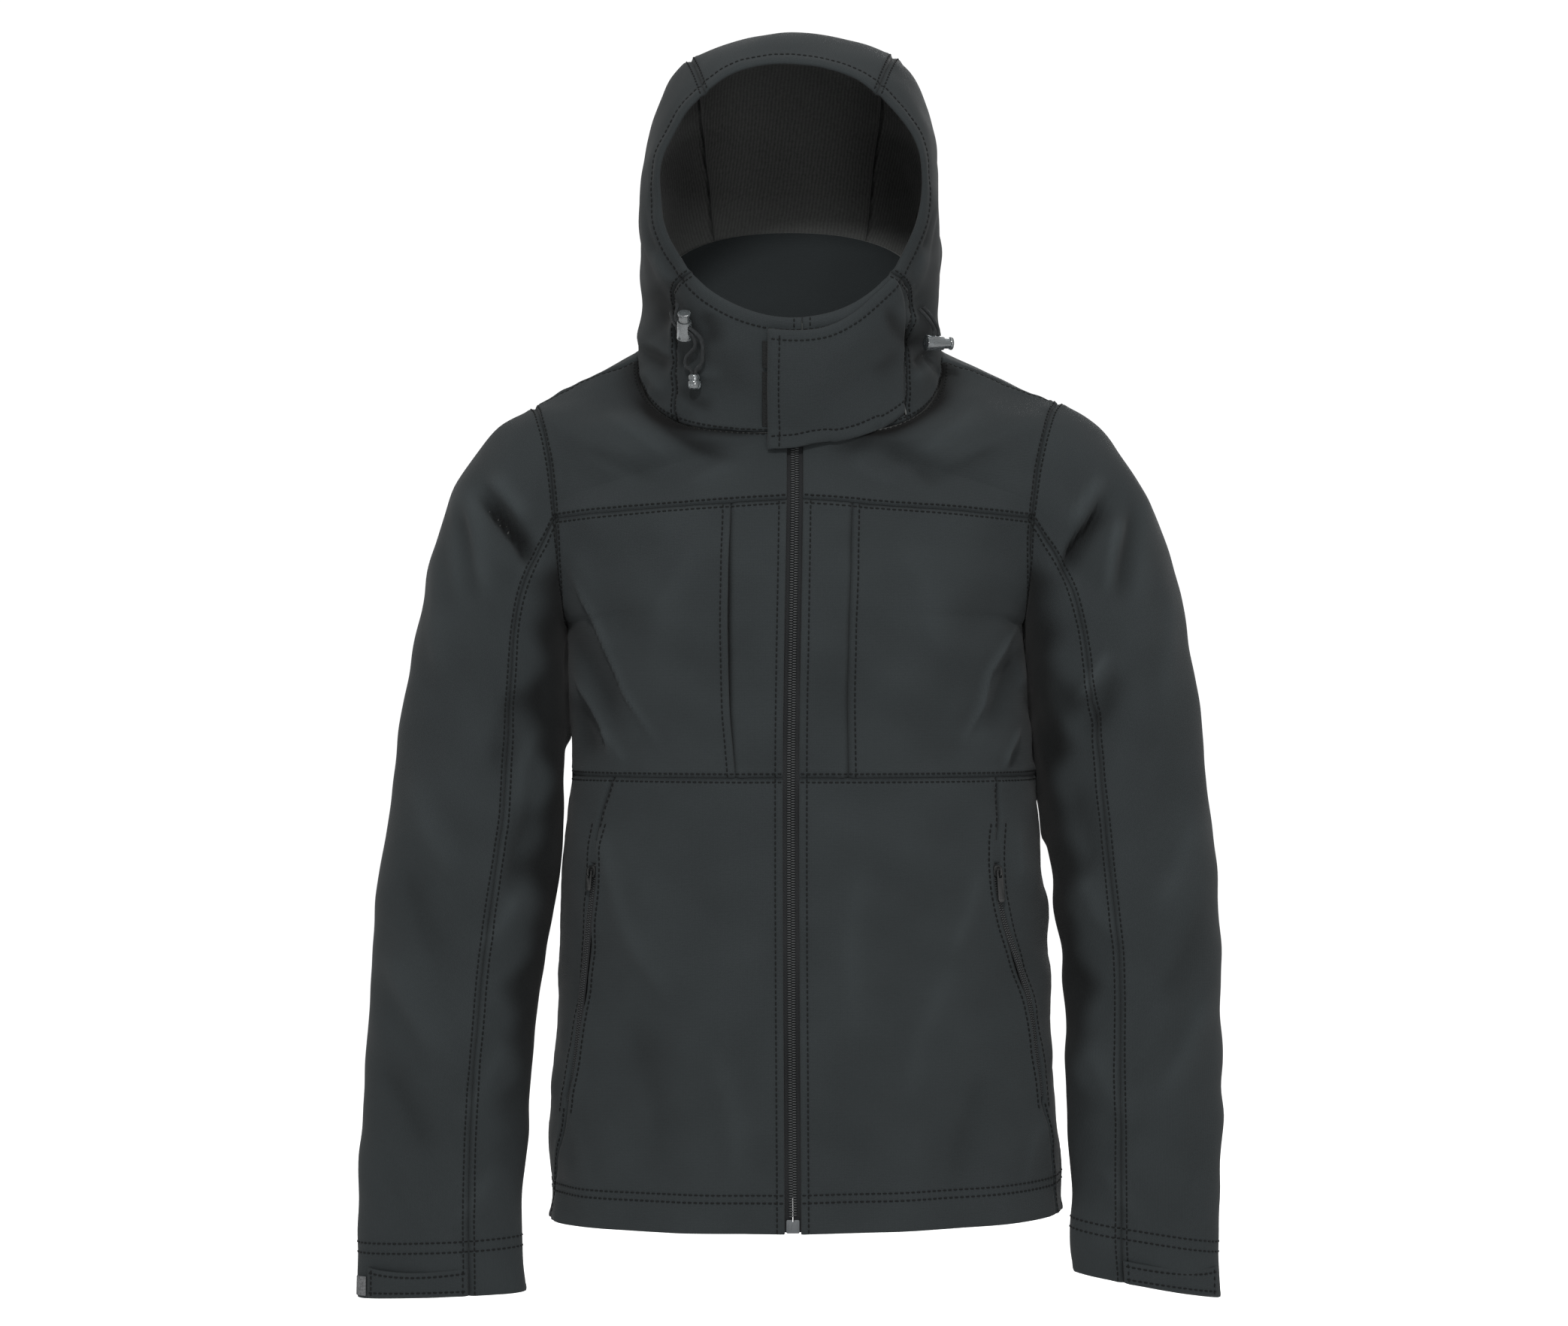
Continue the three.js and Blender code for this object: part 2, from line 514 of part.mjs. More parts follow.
// The back yoke has a neck edge on each side, so its two halves share only the rows below the neck
function backYoke() {
  const half = STRIP_COLUMNS + CHEST_COLUMNS;
  const rows = TOP_ROWS;
  const low = 3;
  const points = [];
  const faces = [];
  const key = new Map();
  const add = (side, i, j, layer) => {
    const name = i === 0 && j <= low ? `0,${j},${layer}` : `${side},${i},${j},${layer}`;
    if (key.has(name)) return key.get(name);
    const v = rows[j];
    const u = i / half;
    const skin = bodySkin(side, false);
    let n = normalAt(skin, u, v);
    if (i === 0 && j <= low) n.add(normalAt(bodySkin(-side, false), 0, v)).normalize();
    if (i === half) n = armEdge(side, v, false);
    if (j === YOKE_ROWS) n = shoulderNormal(side, u);
    const p = skin.at(u, v);
    const step = (i2, j2) => skin.at(i2 / half, rows[j2]).sub(skin.at(u, v)).normalize().multiplyScalar(HALF_GAP);
    const moves = [];
    if (j === 0) moves.push(step(i, 1));
    if (j === YOKE_ROWS) moves.push(step(i, j - 1));
    if (i === half) moves.push(step(i - 1, j));
    if (i === 0 && j > low) moves.push(step(1, j));
    if (i === 0 && j === low) moves.push(new THREE.Vector3(0, 0, -2 * HALF_GAP));
    moves.forEach((m) => p.add(m));
    p.addScaledVector(n, layer ? -WALL : 0);
    key.set(name, points.length / 3);
    points.push(p.x, p.y, p.z);
    return key.get(name);
  };
  const quad = (a, b, c, d, flip) => {
    if (flip) faces.push(a, c, b, a, d, c);
    else faces.push(a, b, c, a, c, d);
  };
  for (const side of [-1, 1]) {
    const flip = side < 0;
    for (let i = 0; i < half; i += 1) {
      for (let j = 0; j < YOKE_ROWS; j += 1) {
        const corner = (layer) => [add(side, i, j, layer), add(side, i + 1, j, layer), add(side, i + 1, j + 1, layer), add(side, i, j + 1, layer)];
        quad(...corner(0), flip);
        quad(...corner(1).reverse(), flip);
      }
      const rim = (j, turn) => quad(add(side, i, j, 0), add(side, i, j, 1), add(side, i + 1, j, 1), add(side, i + 1, j, 0), flip !== turn);
      rim(0, false);
      rim(YOKE_ROWS, true);
    }
    for (let j = 0; j < YOKE_ROWS; j += 1) {
      quad(add(side, half, j, 0), add(side, half, j, 1), add(side, half, j + 1, 1), add(side, half, j + 1, 0), flip);
      if (j >= low) quad(add(side, 0, j, 0), add(side, 0, j + 1, 0), add(side, 0, j + 1, 1), add(side, 0, j, 1), flip);
    }
  }
  place('back_yoke', closedGeometry(points, faces), SHELL);
}

const SLEEVE_ROWS = [0, 0.03, 0.07, 0.12, 0.18, 0.25, 0.33, 0.42, 0.52, 0.63, 0.75, 0.87, 1];

function sleevePieces(side, word) {
  const skin = sleeveSkin(side);
  const seam = (k) => read(UNDER_SEAM, k)[0];
  const last = SLEEVE_ROWS.length - 1;
  const edge = (i, j, u) => (j === 0 ? armholeNormal(side, u, true) : null);
  place(`top_sleeve_${word}`, clothPiece(skin, 2 * YOKE_ROWS, last, (i, j) => {
    const k = SLEEVE_ROWS[j];
    return [mix(seam(k), 1 - seam(k), i / (2 * YOKE_ROWS)), k];
  }, { edge, gap: 0.42 }), SHELL);
  place(`under_sleeve_${word}`, clothPiece(skin, 8, last, (i, j) => {
    const k = SLEEVE_ROWS[j];
    return [mix(-seam(k), seam(k), i / 8), k];
  }, { edge, gap: 0.42 }), SHELL);
  const tabEnd = side < 0 ? 0.408 : 0.43;
  place(`cuff_tab_${word}`, clothPiece(skin, 9, 3, (i, j) => {
    const k = mix(0.946, 0.997, j / 3);
    const dip = 0.007 * Math.sin(Math.PI * i / 9) * (1 - j / 3);
    return [mix(seam(k) + 0.004, tabEnd, i / 9), k + dip];
  }, { lift: () => WALL + 0.5, wall: 1.6, gap: 0 }), SHELL);
  if (side < 0) {
    place('cuff_patch_right', clothPiece(skin, 3, 2, (i, j) => [mix(0.418, 0.47, i / 3), mix(0.962, 0.995, j / 2)],
      { lift: () => 1.2, wall: 0.9, gap: 0 }), PATCH);
  }
}

// Columns of the hood at the neck seam, in degrees
const CHIN_STEP = SIDE_NECK_DEG / (YOKE_ROWS - 1);
const BACK_STEP = (180 - SIDE_NECK_DEG) / 9;
const CHIN_DEG = CHIN_STEPS * CHIN_STEP;
const SIDE_DEGS = spread(CHIN_DEG, SIDE_NECK_DEG, YOKE_ROWS - 1 - CHIN_STEPS)
  .concat(spread(SIDE_NECK_DEG, SIDE_NECK_DEG + CROWN_STEPS * BACK_STEP, CROWN_STEPS).slice(1));
const SIDE_SHARES = SIDE_DEGS.map((d) => (d - SIDE_DEGS[0]) / (SIDE_DEGS[SIDE_DEGS.length - 1] - SIDE_DEGS[0]));
const HOOD_ROWS = [0, 0.07, 0.15, 0.24, 0.33, 0.42, 0.51, 0.6, 0.69, 0.78, 0.86, 0.93, 1];

const chinEdge = (t) => Math.asin(FRONT_EDGE / read(HOOD, t)[4]) * 180 / Math.PI;
const chinSeam = (t) => (t >= 1 ? CHIN_DEG : read(CHIN_SEAM, t)[0]);
const crownSeam = (t) => (t >= 1 ? SIDE_DEGS[SIDE_DEGS.length - 1] : read(CROWN_SEAM, t)[0]);

function hoodPieces() {
  const rows = HOOD_ROWS.length - 1;
  for (const [side, word] of [[-1, 'right'], [1, 'left']]) {
    place(`hood_chin_${word}`, clothPiece(hoodSkin, CHIN_STEPS, rows, (i, j) => {
      const t = HOOD_ROWS[j];
      return [side * mix(chinEdge(t), chinSeam(t), i / CHIN_STEPS), t];
    }), SHELL);
    place(`hood_side_${word}`, clothPiece(hoodSkin, SIDE_SHARES.length - 1, rows, (i, j) => {
      const t = HOOD_ROWS[j];
      return [side * mix(chinSeam(t), crownSeam(t), SIDE_SHARES[i]), t];
    }), SHELL);
  }
  place('hood_centre', clothPiece(hoodSkin, 6, rows, (i, j) => {
    const t = HOOD_ROWS[j];
    return [mix(crownSeam(t), 360 - crownSeam(t), i / 6), t];
  }), SHELL);
  place('neck_band', clothPiece(hoodSkin, 24, 3, (i, j) => [mix(24, 336, i / 24), mix(0.74, 0.96, j / 3)],
    { lift: (i, j) => -WALL - mix(3.4, 0.75, j / 3), wall: 1.6, gap: 0 }), SHELL);
}

// The hood function with angles past 180 degrees wraps to the other side
const plainHood = hoodSkin.at;
hoodSkin.at = (deg, t) => plainHood(deg > 180 ? deg - 360 : deg, t);

// The front along the zip: q 0 to 1 is the body up to the neck, 1 to 2 the hood up to the face edge
function zipRow(q, x, out) {
  const side = x < 0 ? -1 : 1;
  const body = () => {
    const v = Math.min(q, 1) * NECK_FRONT_ROW;
    const { centre } = bodyRow(side, true, v);
    const u = shareAtX(side, true, v, centre.x + x);
    const skin = bodySkin(side, true);
    return [skin.at(u, v), normalAt(skin, u, Math.min(v, NECK_FRONT_ROW - 0.002))];
  };
  const hood = () => {
    const t = Math.min(2 - Math.max(q, 1), 1);
    const deg = Math.asin(x / read(HOOD, t)[4]) * 180 / Math.PI;
    return [hoodSkin.at(deg, t), normalAt(hoodSkin, deg, t)];
  };
  const near = Math.abs(q - 1) < 0.001;
  const [p, n] = q <= 1 ? body() : hood();
  if (near) {
    const a = body()[1];
    const b = hood()[1];
    n.copy(a.multiplyScalar(1).add(b)).normalize();
  }
  return p.addScaledVector(n, out);
}

function zipStrip(x0, x1, qs, top, bottom, columns) {
  const outer = [];
  const inner = [];
  for (let i = 0; i <= columns; i += 1) {
    const x = mix(x0, x1, i / columns);
    outer.push(qs.map((q) => zipRow(q, x, top)));
    inner.push(qs.map((q) => zipRow(q, x, bottom)));
  }
  return wallGeometry(outer, inner);
}

// Rows of the zip fall on the rows of the pieces beside it
const ZIP_ROWS = [0.038, ...LOWER_ROWS.slice(1), ...CHEST_ROWS.slice(1), NECK_FRONT_ROW].map((v) => v / NECK_FRONT_ROW)
  .concat([1.07, 1.14, 1.22, 1.31, 1.4, 1.49, 1.58, 1.67, 1.76, 1.85]);
const TAPE_ROWS = [0.001].concat(ZIP_ROWS);

function frontZip() {
  place('zip_tape_right', zipStrip(-17, -3.6, TAPE_ROWS, -3.2, -4.0, 1), TAPE);
  place('zip_tape_left', zipStrip(3.6, 17, TAPE_ROWS, -3.2, -4.0, 1), TAPE);
  place('zip_chain', zipStrip(-3.2, 3.2, ZIP_ROWS, -1.9, -4.3, 1), COIL);
}

function shapeOf(points) {
  const shape = new THREE.Shape();
  points.forEach(([x, y], i) => (i ? shape.lineTo(x, y) : shape.moveTo(x, y)));
  shape.closePath();
  return shape;
}

function block(w, d, h, x = 0, y = 0, z = 0) {
  return new THREE.BoxGeometry(w, d, h).translate(x, y, z);
}

function solidOf(geometry) {
  const plain = geometry.clone();
  plain.deleteAttribute('normal');
  plain.deleteAttribute('uv');
  const welded = mergeVertices(plain, 1e-4);
  return new wasm.Manifold(new wasm.Mesh({
    numProp: 3,
    vertProperties: new Float32Array(welded.attributes.position.array),
    triVerts: new Uint32Array(welded.index.array),
  }));
}

function geometryOf(solid) {
  const mesh = solid.getMesh();
  const geometry = new THREE.BufferGeometry();
  geometry.setAttribute('position', new THREE.Float32BufferAttribute(mesh.vertProperties, 3));
  geometry.setIndex(Array.from(mesh.triVerts));
  geometry.computeVertexNormals();
  return geometry;
}

// Turns a piece modelled flat (x across, y up the zip, z out of the cloth) onto the cloth
function seat(geometry, origin, up, out) {
  const z = out.clone().normalize();
  const y = up.clone().addScaledVector(z, -up.dot(z)).normalize();
  const x = y.clone().cross(z);
  const frame = new THREE.Matrix4().makeBasis(x, y, z).setPosition(origin);
  return geometry.clone().applyMatrix4(frame);
}

const PULL_AXIS_HEIGHT = 3.4;

function sliderShape() {
  const outline = shapeOf([[-2.6, -4.6], [2.6, -4.6], [4, -1.5], [4, 2.6], [2.8, 4.4], [-2.8, 4.4], [-4, 2.6], [-4, -1.5]]);
  const body = new THREE.ExtrudeGeometry(outline, { depth: 1.9, bevelEnabled: false });
  const arch = block(1.8, 7.2, 4, 0, 0, 3.6);
  const window = block(3, 4.4, 2.7, 0, 0, 3.35);
  const solid = solidOf(body).add(solidOf(arch)).subtract(solidOf(window));
  return geometryOf(solid);
}

function pullShape(length) {
  const outline = shapeOf([[-3, 0.6], [3, 0.6], [3.3, -length + 2], [2.2, -length], [-2.2, -length], [-3.3, -length + 2]]);
  const plate = new THREE.ExtrudeGeometry(outline, { depth: 1.2, bevelEnabled: false }).translate(0, 0, -0.6);
  const hole = block(2.9, 4.6, 3, 0, -3, 0);
  return geometryOf(solidOf(plate).subtract(solidOf(hole)));
}

// Lower pocket: strip, garage, slider and pull along the slanted seam
function lowerPocket(side, word, sliderZ, pullLength) {
  const skin = bodySkin(side, true);
  const rowAt = (z) => (z - HEM_Z) / (WAIST_Z - HEM_Z);
  const strip = (z0, z1, half, lift, wall, rows) => clothPiece(skin, 2, rows, (i, j) => {
    const v = rowAt(mix(z0, z1, j / rows));
    const { edge } = bodyRow(side, true, v);
    const across = half / Math.abs(edge.x) / (Math.PI / 2) / Math.max(Math.cos(pocketSeamShare(side, v) * Math.PI / 2), 0.45);
    return [Math.min(pocketSeamShare(side, v) + mix(-across, across, i / 2), 0.999), v];
  }, { lift: () => lift, wall, gap: 0 });
  place(`pocket_zip_${word}`, strip(-404.5, -591, 2.6, 1.6, 0.95, 16), COIL);
  place(`pocket_garage_${word}`, strip(-386, -403.5, 4.2, 2.1, 1.45, 3), SHELL);
  const v = rowAt(sliderZ);
  const u = pocketSeamShare(side, v);
  const p = skin.at(u, v);
  const higher = skin.at(pocketSeamShare(side, v + 0.03), v + 0.03);
  const lower = skin.at(pocketSeamShare(side, v - 0.05), v - 0.05);
  const up = higher.sub(lower);
  const out = normalAt(skin, u, v);
  const base = p.clone().addScaledVector(out, 2.0);
  place(`pocket_slider_${word}`, seat(sliderShape(), base, up, out), BLACK_PLASTIC);
  const axis = base.clone().addScaledVector(out.clone().normalize(), PULL_AXIS_HEIGHT);
  place(`pocket_pull_${word}`, seat(pullShape(pullLength), axis, up, out), BLACK_PLASTIC);
}

// Chin flap: top edge by degrees along the hood, drop below the neck seam, lift off the hood
const FLAP_TOP = [[-12, 0.1], [12, 0.1], [26, 0.07], [38, 0.035], [50, 0.03]];
const FLAP_DROP = [[-12, 14], [0, 13], [8, 9], [20, 5], [30, 2], [40, -3], [50, -8]];
const FLAP_LIFT = [[-12, 4.6], [-6, 6.6], [0, 7.4], [6, 6.8], [14, 4.6], [24, 3.0], [50, 2.7]];
const FLAP_EDGE_X = -19.5;
const FLAP_END_DEG = 48;

function flap() {
  const columns = 14;
  const rows = 7;
  const outer = [];
  const inner = [];
  for (let i = 0; i <= columns; i += 1) {
    const line = [];
    const back = [];
    for (let j = 0; j <= rows; j += 1) {
      const share = i / columns;
      const place0 = (t) => mix(Math.asin(FLAP_EDGE_X / read(HOOD, t)[4]) * 180 / Math.PI, FLAP_END_DEG, share);
      const drop = read(FLAP_DROP, place0(1))[0];
      const end = Math.min(0.94, 0.965 + drop / 110);
      const top = read(FLAP_TOP, place0(0.1))[0];
      const t = j < rows ? mix(top, end, j / (rows - 1)) : 1 + Math.min(drop, 0) / 110;
      const deg = place0(t);
      let p = hoodSkin.at(deg, t);
      let n = normalAt(hoodSkin, deg, t);
      if (j === rows && drop > 0) {
        const body = bodySkin(p.x < 3 ? -1 : 1, true);
        const [u, v] = findOn(body, p.x, p.z - drop, Math.abs(p.x) / 190, NECK_FRONT_ROW - 0.02);
        p = body.at(u, v);
        n = normalAt(body, u, v);
      }
      const lift = read(FLAP_LIFT, deg)[0];
      line.push(p.clone().addScaledVector(n, lift));
      back.push(p.clone().addScaledVector(n, lift - 1.8));
    }
    outer.push(line);
    inner.push(back);
  }
  place('chin_flap', wallGeometry(outer, inner), SHELL);
  const pad = (name, t0, t1) => place(name, clothPiece(hoodSkin, 2, 4, (i, j) => {
    const t = mix(t0, t1, j / 4);
    return [Math.asin(mix(-24, -10, i / 2) / read(HOOD, t)[4]) * 180 / Math.PI, t];
  }, { lift: () => 1.6, wall: 1.2, gap: 0 }), PATCH);
  pad('loop_strip_upper', 0.19, 0.385);
  pad('loop_strip_lower', 0.42, 0.93);
}

function frontSlider() {
  const base = zipRow(1.8, 0.001, -1.55);
  const up = zipRow(1.84, 0.001, -1.55).sub(zipRow(1.7, 0.001, -1.55));
  const out = normalAt(hoodSkin, 0.1, 0.2);
  place('zip_slider', seat(sliderShape(), base, up, out), COIL);
  place('zip_pull', seat(pullShape(14), base.clone().addScaledVector(out, PULL_AXIS_HEIGHT), up, out), COIL);
  const [x] = read(ZIP_X, HEM_Z);
  const outline = shapeOf([[-4.4, -5.2], [4.4, -5.2], [5.2, -4.4], [5.2, 4.4], [4.4, 5.2], [1, 5.2], [0.6, 3.4], [-0.2, 3.4], [-0.6, 5.2], [-4.4, 5.2], [-5.2, 4.4], [-5.2, -4.4]]);
  const box = new THREE.ExtrudeGeometry(outline, { depth: 2.5, bevelEnabled: false });
  const origin = new THREE.Vector3(x, read(CENTRE_Y, HEM_Z)[0] + 2.9, HEM_Z + 5.8);
  place('zip_end_box', seat(box, origin, new THREE.Vector3(0, 0, 1), new THREE.Vector3(0, -1, 0)), GREY_PLASTIC);
}

const LOCK_RADIUS = 6.2;
const STRAND_OFFSET = 1.85;

function cylinderAlongX(radius, length, x) {
  return new THREE.CylinderGeometry(radius, radius, length, 20).rotateZ(Math.PI / 2).translate(x, 0, 0);
}

// Cord lock: barrel along x, the two strands pass along y through one slot
function lockParts() {
  const slot = () => solidOf(block(7.2, 30, 3.6));
  const barrel = solidOf(cylinderAlongX(LOCK_RADIUS, 15, -1.5));
  const well = solidOf(cylinderAlongX(4.6, 12.2, 2.2));
  const body = geometryOf(barrel.subtract(well).subtract(slot()));
  const plunger = geometryOf(solidOf(cylinderAlongX(4.2, 17, 4.9)).subtract(slot()));
  return { body, plunger };
}

function cordGeometry(points, turns) {
  const path = new THREE.CatmullRomCurve3(points, false, 'centripetal');
  const ring = new THREE.Shape();
  const sides = 8;
  for (let k = 0; k < sides; k += 1) {
    const a = 2 * Math.PI * (k + 0.5) / sides;
    const x = CORD_D / 2 * Math.cos(a);
    const y = CORD_D / 2 * Math.sin(a);
    if (k) ring.lineTo(x, y);
    else ring.moveTo(x, y);
  }
  ring.closePath();
  return new THREE.ExtrudeGeometry(ring, { steps: turns, extrudePath: path, curveSegments: 1, bevelEnabled: false });
}

function onHood(x, z, lift) {
  const deg = Math.asin(Math.max(-0.98, Math.min(0.98, x / 117))) * 180 / Math.PI;
  const [d, t] = findOn(hoodSkin, x, z, deg, 0.3);
  return { p: hoodSkin.at(d, t).addScaledVector(normalAt(hoodSkin, d, t), lift), n: normalAt(hoodSkin, d, t) };
}

function setLock(word, centre, along, bore) {
  const out = along.clone().cross(bore).normalize();
  const { body, plunger } = lockParts();
  const frame = new THREE.Matrix4().makeBasis(along, bore, out).setPosition(centre);
  place(`cord_lock_${word}`, body.applyMatrix4(frame), CLEAR_PLASTIC);
  place(`lock_plunger_${word}`, plunger.applyMatrix4(frame), CLEAR_PLASTIC);
}

function rightCord() {
  const seatPoint = onHood(-76.6, 15.4, 8.2);
  const centre = seatPoint.p;
  const tilt = new THREE.Vector3(0.48, 0, 0.876);
  const along = tilt.addScaledVector(seatPoint.n, -tilt.dot(seatPoint.n)).normalize();
  const bore = along.clone().cross(seatPoint.n).normalize();
  if (bore.z > 0) bore.negate();
  setLock('right', centre, along, bore);
  const bead = onHood(-71.5, -28, 6.2);
  const down = new THREE.Vector3(0, 0, -1).addScaledVector(bead.n, bead.n.z).normalize();
  const across = down.clone().cross(bead.n).normalize();
  if (across.x < 0) across.negate();
  const strands = [
    ['right_cord_outer', -1, [-92, 26], [[-70.5, 0.5], [-77.5, -8], [-78.5, -15]]],
    ['right_cord_inner', 1, [-86, 32], [[-66.5, 6], [-65, -4], [-66, -13]]],
  ];
  for (const [name, k, exit, bend] of strands) {
    const shift = along.clone().multiplyScalar(k * STRAND_OFFSET);
    const inBore = (d) => centre.clone().add(shift).addScaledVector(bore, d);
    const inBead = (d) => bead.p.clone().addScaledVector(across, k * STRAND_OFFSET).addScaledVector(down, d);
    const points = [onHood(exit[0], exit[1], 1.8).p, inBore(-10).lerp(onHood(exit[0], exit[1], 4).p, 0.25), inBore(-7), inBore(0), inBore(7)];
    bend.forEach(([x, z], m) => points.push(onHood(x, z, 5.6 - m * 0.2).p));
    points.push(inBead(-8.5), inBead(-5.5), inBead(-1.2));
    place(name, cordGeometry(points, 22), CORD);
  }
  const profile = [[0, -5.7], [3.4, -5.7], [4.6, -4.4], [4.9, 0], [4.4, 4.6], [3.9, 5.7], [0, 5.7]].map(([x, y]) => new THREE.Vector2(x, y));
  const round = solidOf(new THREE.LatheGeometry(profile, 18));
  const hole = solidOf(block(7, 7.2, 3.5, 0, 2.6, 0));
  const geometry = geometryOf(round.subtract(hole));
  const frame = new THREE.Matrix4().makeBasis(across, down.clone().negate(), across.clone().cross(down.clone().negate())).setPosition(bead.p);
  place('cord_end_right', geometry.applyMatrix4(frame), CLEAR_PLASTIC);
}

function leftCord() {
  const seatPoint = onHood(104, 5, 11.4);
  const centre = seatPoint.p;
  const along = new THREE.Vector3(0.93, 0.367, 0).normalize();
  const bore = new THREE.Vector3(0, 0, -1);
  setLock('left', centre, along, bore);
  for (const [name, k, exit] of [['left_cord_inner', -1, [98.5, 30]], ['left_cord_outer', 1, [102, 32]]]) {
    const start = onHood(exit[0], exit[1], 1.8);
    const inBore = (d) => centre.clone().addScaledVector(along, k * STRAND_OFFSET).addScaledVector(bore, d);
    const rise = onHood(exit[0], exit[1] - 3, 6).p.lerp(inBore(-14), 0.35);
    place(name, cordGeometry([start.p, rise, inBore(-10.5), inBore(-7), inBore(0), inBore(5)], 14), CORD);
  }
}

lowerPocket(-1, 'right', -410, 15);
lowerPocket(1, 'left', -410, 24);

frontPieces(-1, 'right');
frontPieces(1, 'left');
backPiece('back_body', LOWER_ROWS.concat(CHEST_ROWS.slice(1)), 7);
backYoke();
sleevePieces(-1, 'right');
sleevePieces(1, 'left');
hoodPieces();
frontZip();
flap();
frontSlider();
rightCord();
leftCord();

export default group;
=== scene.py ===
import math

import bmesh
import bpy
import numpy as np
from mathutils import Matrix, Vector


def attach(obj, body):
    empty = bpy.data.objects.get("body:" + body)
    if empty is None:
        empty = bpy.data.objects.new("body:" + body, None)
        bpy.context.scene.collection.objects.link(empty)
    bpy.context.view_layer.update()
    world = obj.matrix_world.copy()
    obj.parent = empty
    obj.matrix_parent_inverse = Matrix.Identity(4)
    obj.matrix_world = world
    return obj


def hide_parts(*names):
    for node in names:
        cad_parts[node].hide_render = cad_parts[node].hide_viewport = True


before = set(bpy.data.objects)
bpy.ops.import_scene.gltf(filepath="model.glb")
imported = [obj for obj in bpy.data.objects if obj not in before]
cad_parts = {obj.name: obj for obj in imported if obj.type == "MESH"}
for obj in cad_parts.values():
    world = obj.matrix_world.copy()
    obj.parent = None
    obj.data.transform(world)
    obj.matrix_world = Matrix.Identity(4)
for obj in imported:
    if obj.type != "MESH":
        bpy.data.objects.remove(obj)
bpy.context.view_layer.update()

# Hooded softshell jacket, worn shape, hollow. Shapes are worked out in millimetres and built in metres.
# The front faces -Y. The wearer's left is +X, on the right of the picture.

MM = 0.001
# Thickness of the cloth, half the gap between neighbouring pieces, and the step of their grids
WALL = 2.0
HALF_GAP = 0.15
CLOTH_STEP = 4.2
# Heights of the hem, the waist seam, the armpits, the yoke seam and the neck seam
HEM_Z = -688
WAIST_Z = -336
ARMPIT_Z = -216
YOKE_Z = -120
NECK_FRONT_Z = -69
NECK_BACK_Z = 18
# Distance of each front's edge from the middle of the zip
FRONT_EDGE = 6.5
# Armhole share at the yoke seam, and the rows of the yoke that the neck seam starts at
YOKE_S = 0.24
YOKE_ROWS = 12
NECK_FRONT_ROW = 3 + 1 / YOKE_ROWS
NECK_BACK_ROW = 3 + 3 / YOKE_ROWS
# Degrees round the neck of the body's side seam, the chin seam and the crown seam
SIDE_NECK_DEG = 92
CHIN_DEG = 6 * SIDE_NECK_DEG / 11
CROWN_DEG = SIDE_NECK_DEG + 6 * (180 - SIDE_NECK_DEG) / 9
# Diameter of the hood's cords
CORD_D = 2.8

# Side seam half width by height: z, wearer's right, wearer's left
SIDE_X = [
    [-688, 193, 217], [-618, 191, 212], [-560, 188, 208.5], [-500, 185, 206], [-438, 182, 203.5],
    [-390, 179.5, 199.5], [-336, 175, 193.5], [-300, 175, 190], [-216, 178, 184],
]
# Depth of the centre front and centre back lines: z, front y, back y
CENTRE_Y = [
    [-688, -108, 106], [-500, -112, 102], [-336, -113, 100], [-205, -118, 111],
    [-120, -107, 108], [-69, -90, 101], [18, -70, 75],
]
# Centre of the front zip, which drifts a little: z, x
ZIP_X = [[-688, 1.5], [-336, 0], [-120, 3], [-69, 3], [20, 2]]
# Armhole loop from armpit forward over the shoulder to the back: s, right x, left x
ARMHOLE_X = [
    [0, 178, 184], [0.12, 181, 187], [0.24, 185, 189], [0.35, 192, 197], [0.43, 200, 206],
    [0.5, 206, 213], [0.57, 202, 208], [0.65, 197, 201], [0.76, 190, 194], [0.88, 184, 190], [1, 178, 184],
]
ARMHOLE_MID_Z = -128.5
ARMHOLE_HALF = 87.5
ARMHOLE_FRONT = 62
ARMHOLE_BACK = 56
# Neck seam from centre front round to centre back: degrees, x, y, z
NECK = [
    [0, 0, -90, -69], [22, 46, -88, -68], [42, 80, -78, -62], [60, 104, -58, -49], [77, 118, -32, -28],
    [92, 121, -4, -5], [110, 113, 30, 8], [130, 90, 55, 14], [152, 51, 70, 17], [180, 0, 75, 18],
]
# Sleeve rings: key, inner x, inner z, outer x, outer z, half depth, centre y
SLEEVE_RIGHT = [
    [0, 178, -216, 206, -41, 60, -2], [1, 180, -232, 236, -60, 66, -3],
    [2, 181, -250, 262, -96, 65, -4], [3, 181, -275, 281, -142, 62, -5],
    [4, 180, -308, 294, -196, 59, -6], [5, 180, -352, 305, -262, 55, -8],
    [6, 184, -412, 316, -330, 52, -11], [7, 198, -500, 329.5, -440, 47, -15],
    [8, 208, -590, 336.5, -550, 41, -19], [9, 212, -670, 341, -650, 33, -22],
    [10, 211.5, -708, 343, -706, 28, -23], [11, 211, -744, 344, -749, 24, -24],
]
SLEEVE_LEFT = [
    [0, 184, -216, 213, -41, 60, -2], [1, 187, -232, 248, -60, 66, -3],
    [2, 190, -250, 274, -96, 65, -4], [3, 193, -275, 295, -142, 62, -5],
    [4, 196, -308, 310, -196, 59, -6], [5, 200, -352, 322, -262, 55, -8],
    [6, 206, -412, 331, -330, 52, -11], [7, 217, -500, 340, -440, 47, -15],
    [8, 219, -590, 341, -550, 41, -19], [9, 221, -670, 341, -650, 33, -22],
    [10, 222, -703, 341, -706, 28, -23], [11, 225, -729, 341, -749, 24, -24],
]
SLEEVE_KEYS = 11
# Front seam of the under sleeve: share of sleeve length, ring position s
UNDER_SEAM = [[0, 0.24], [0.06, 0.222], [0.2, 0.208], [0.4, 0.198], [0.7, 0.192], [1, 0.19]]
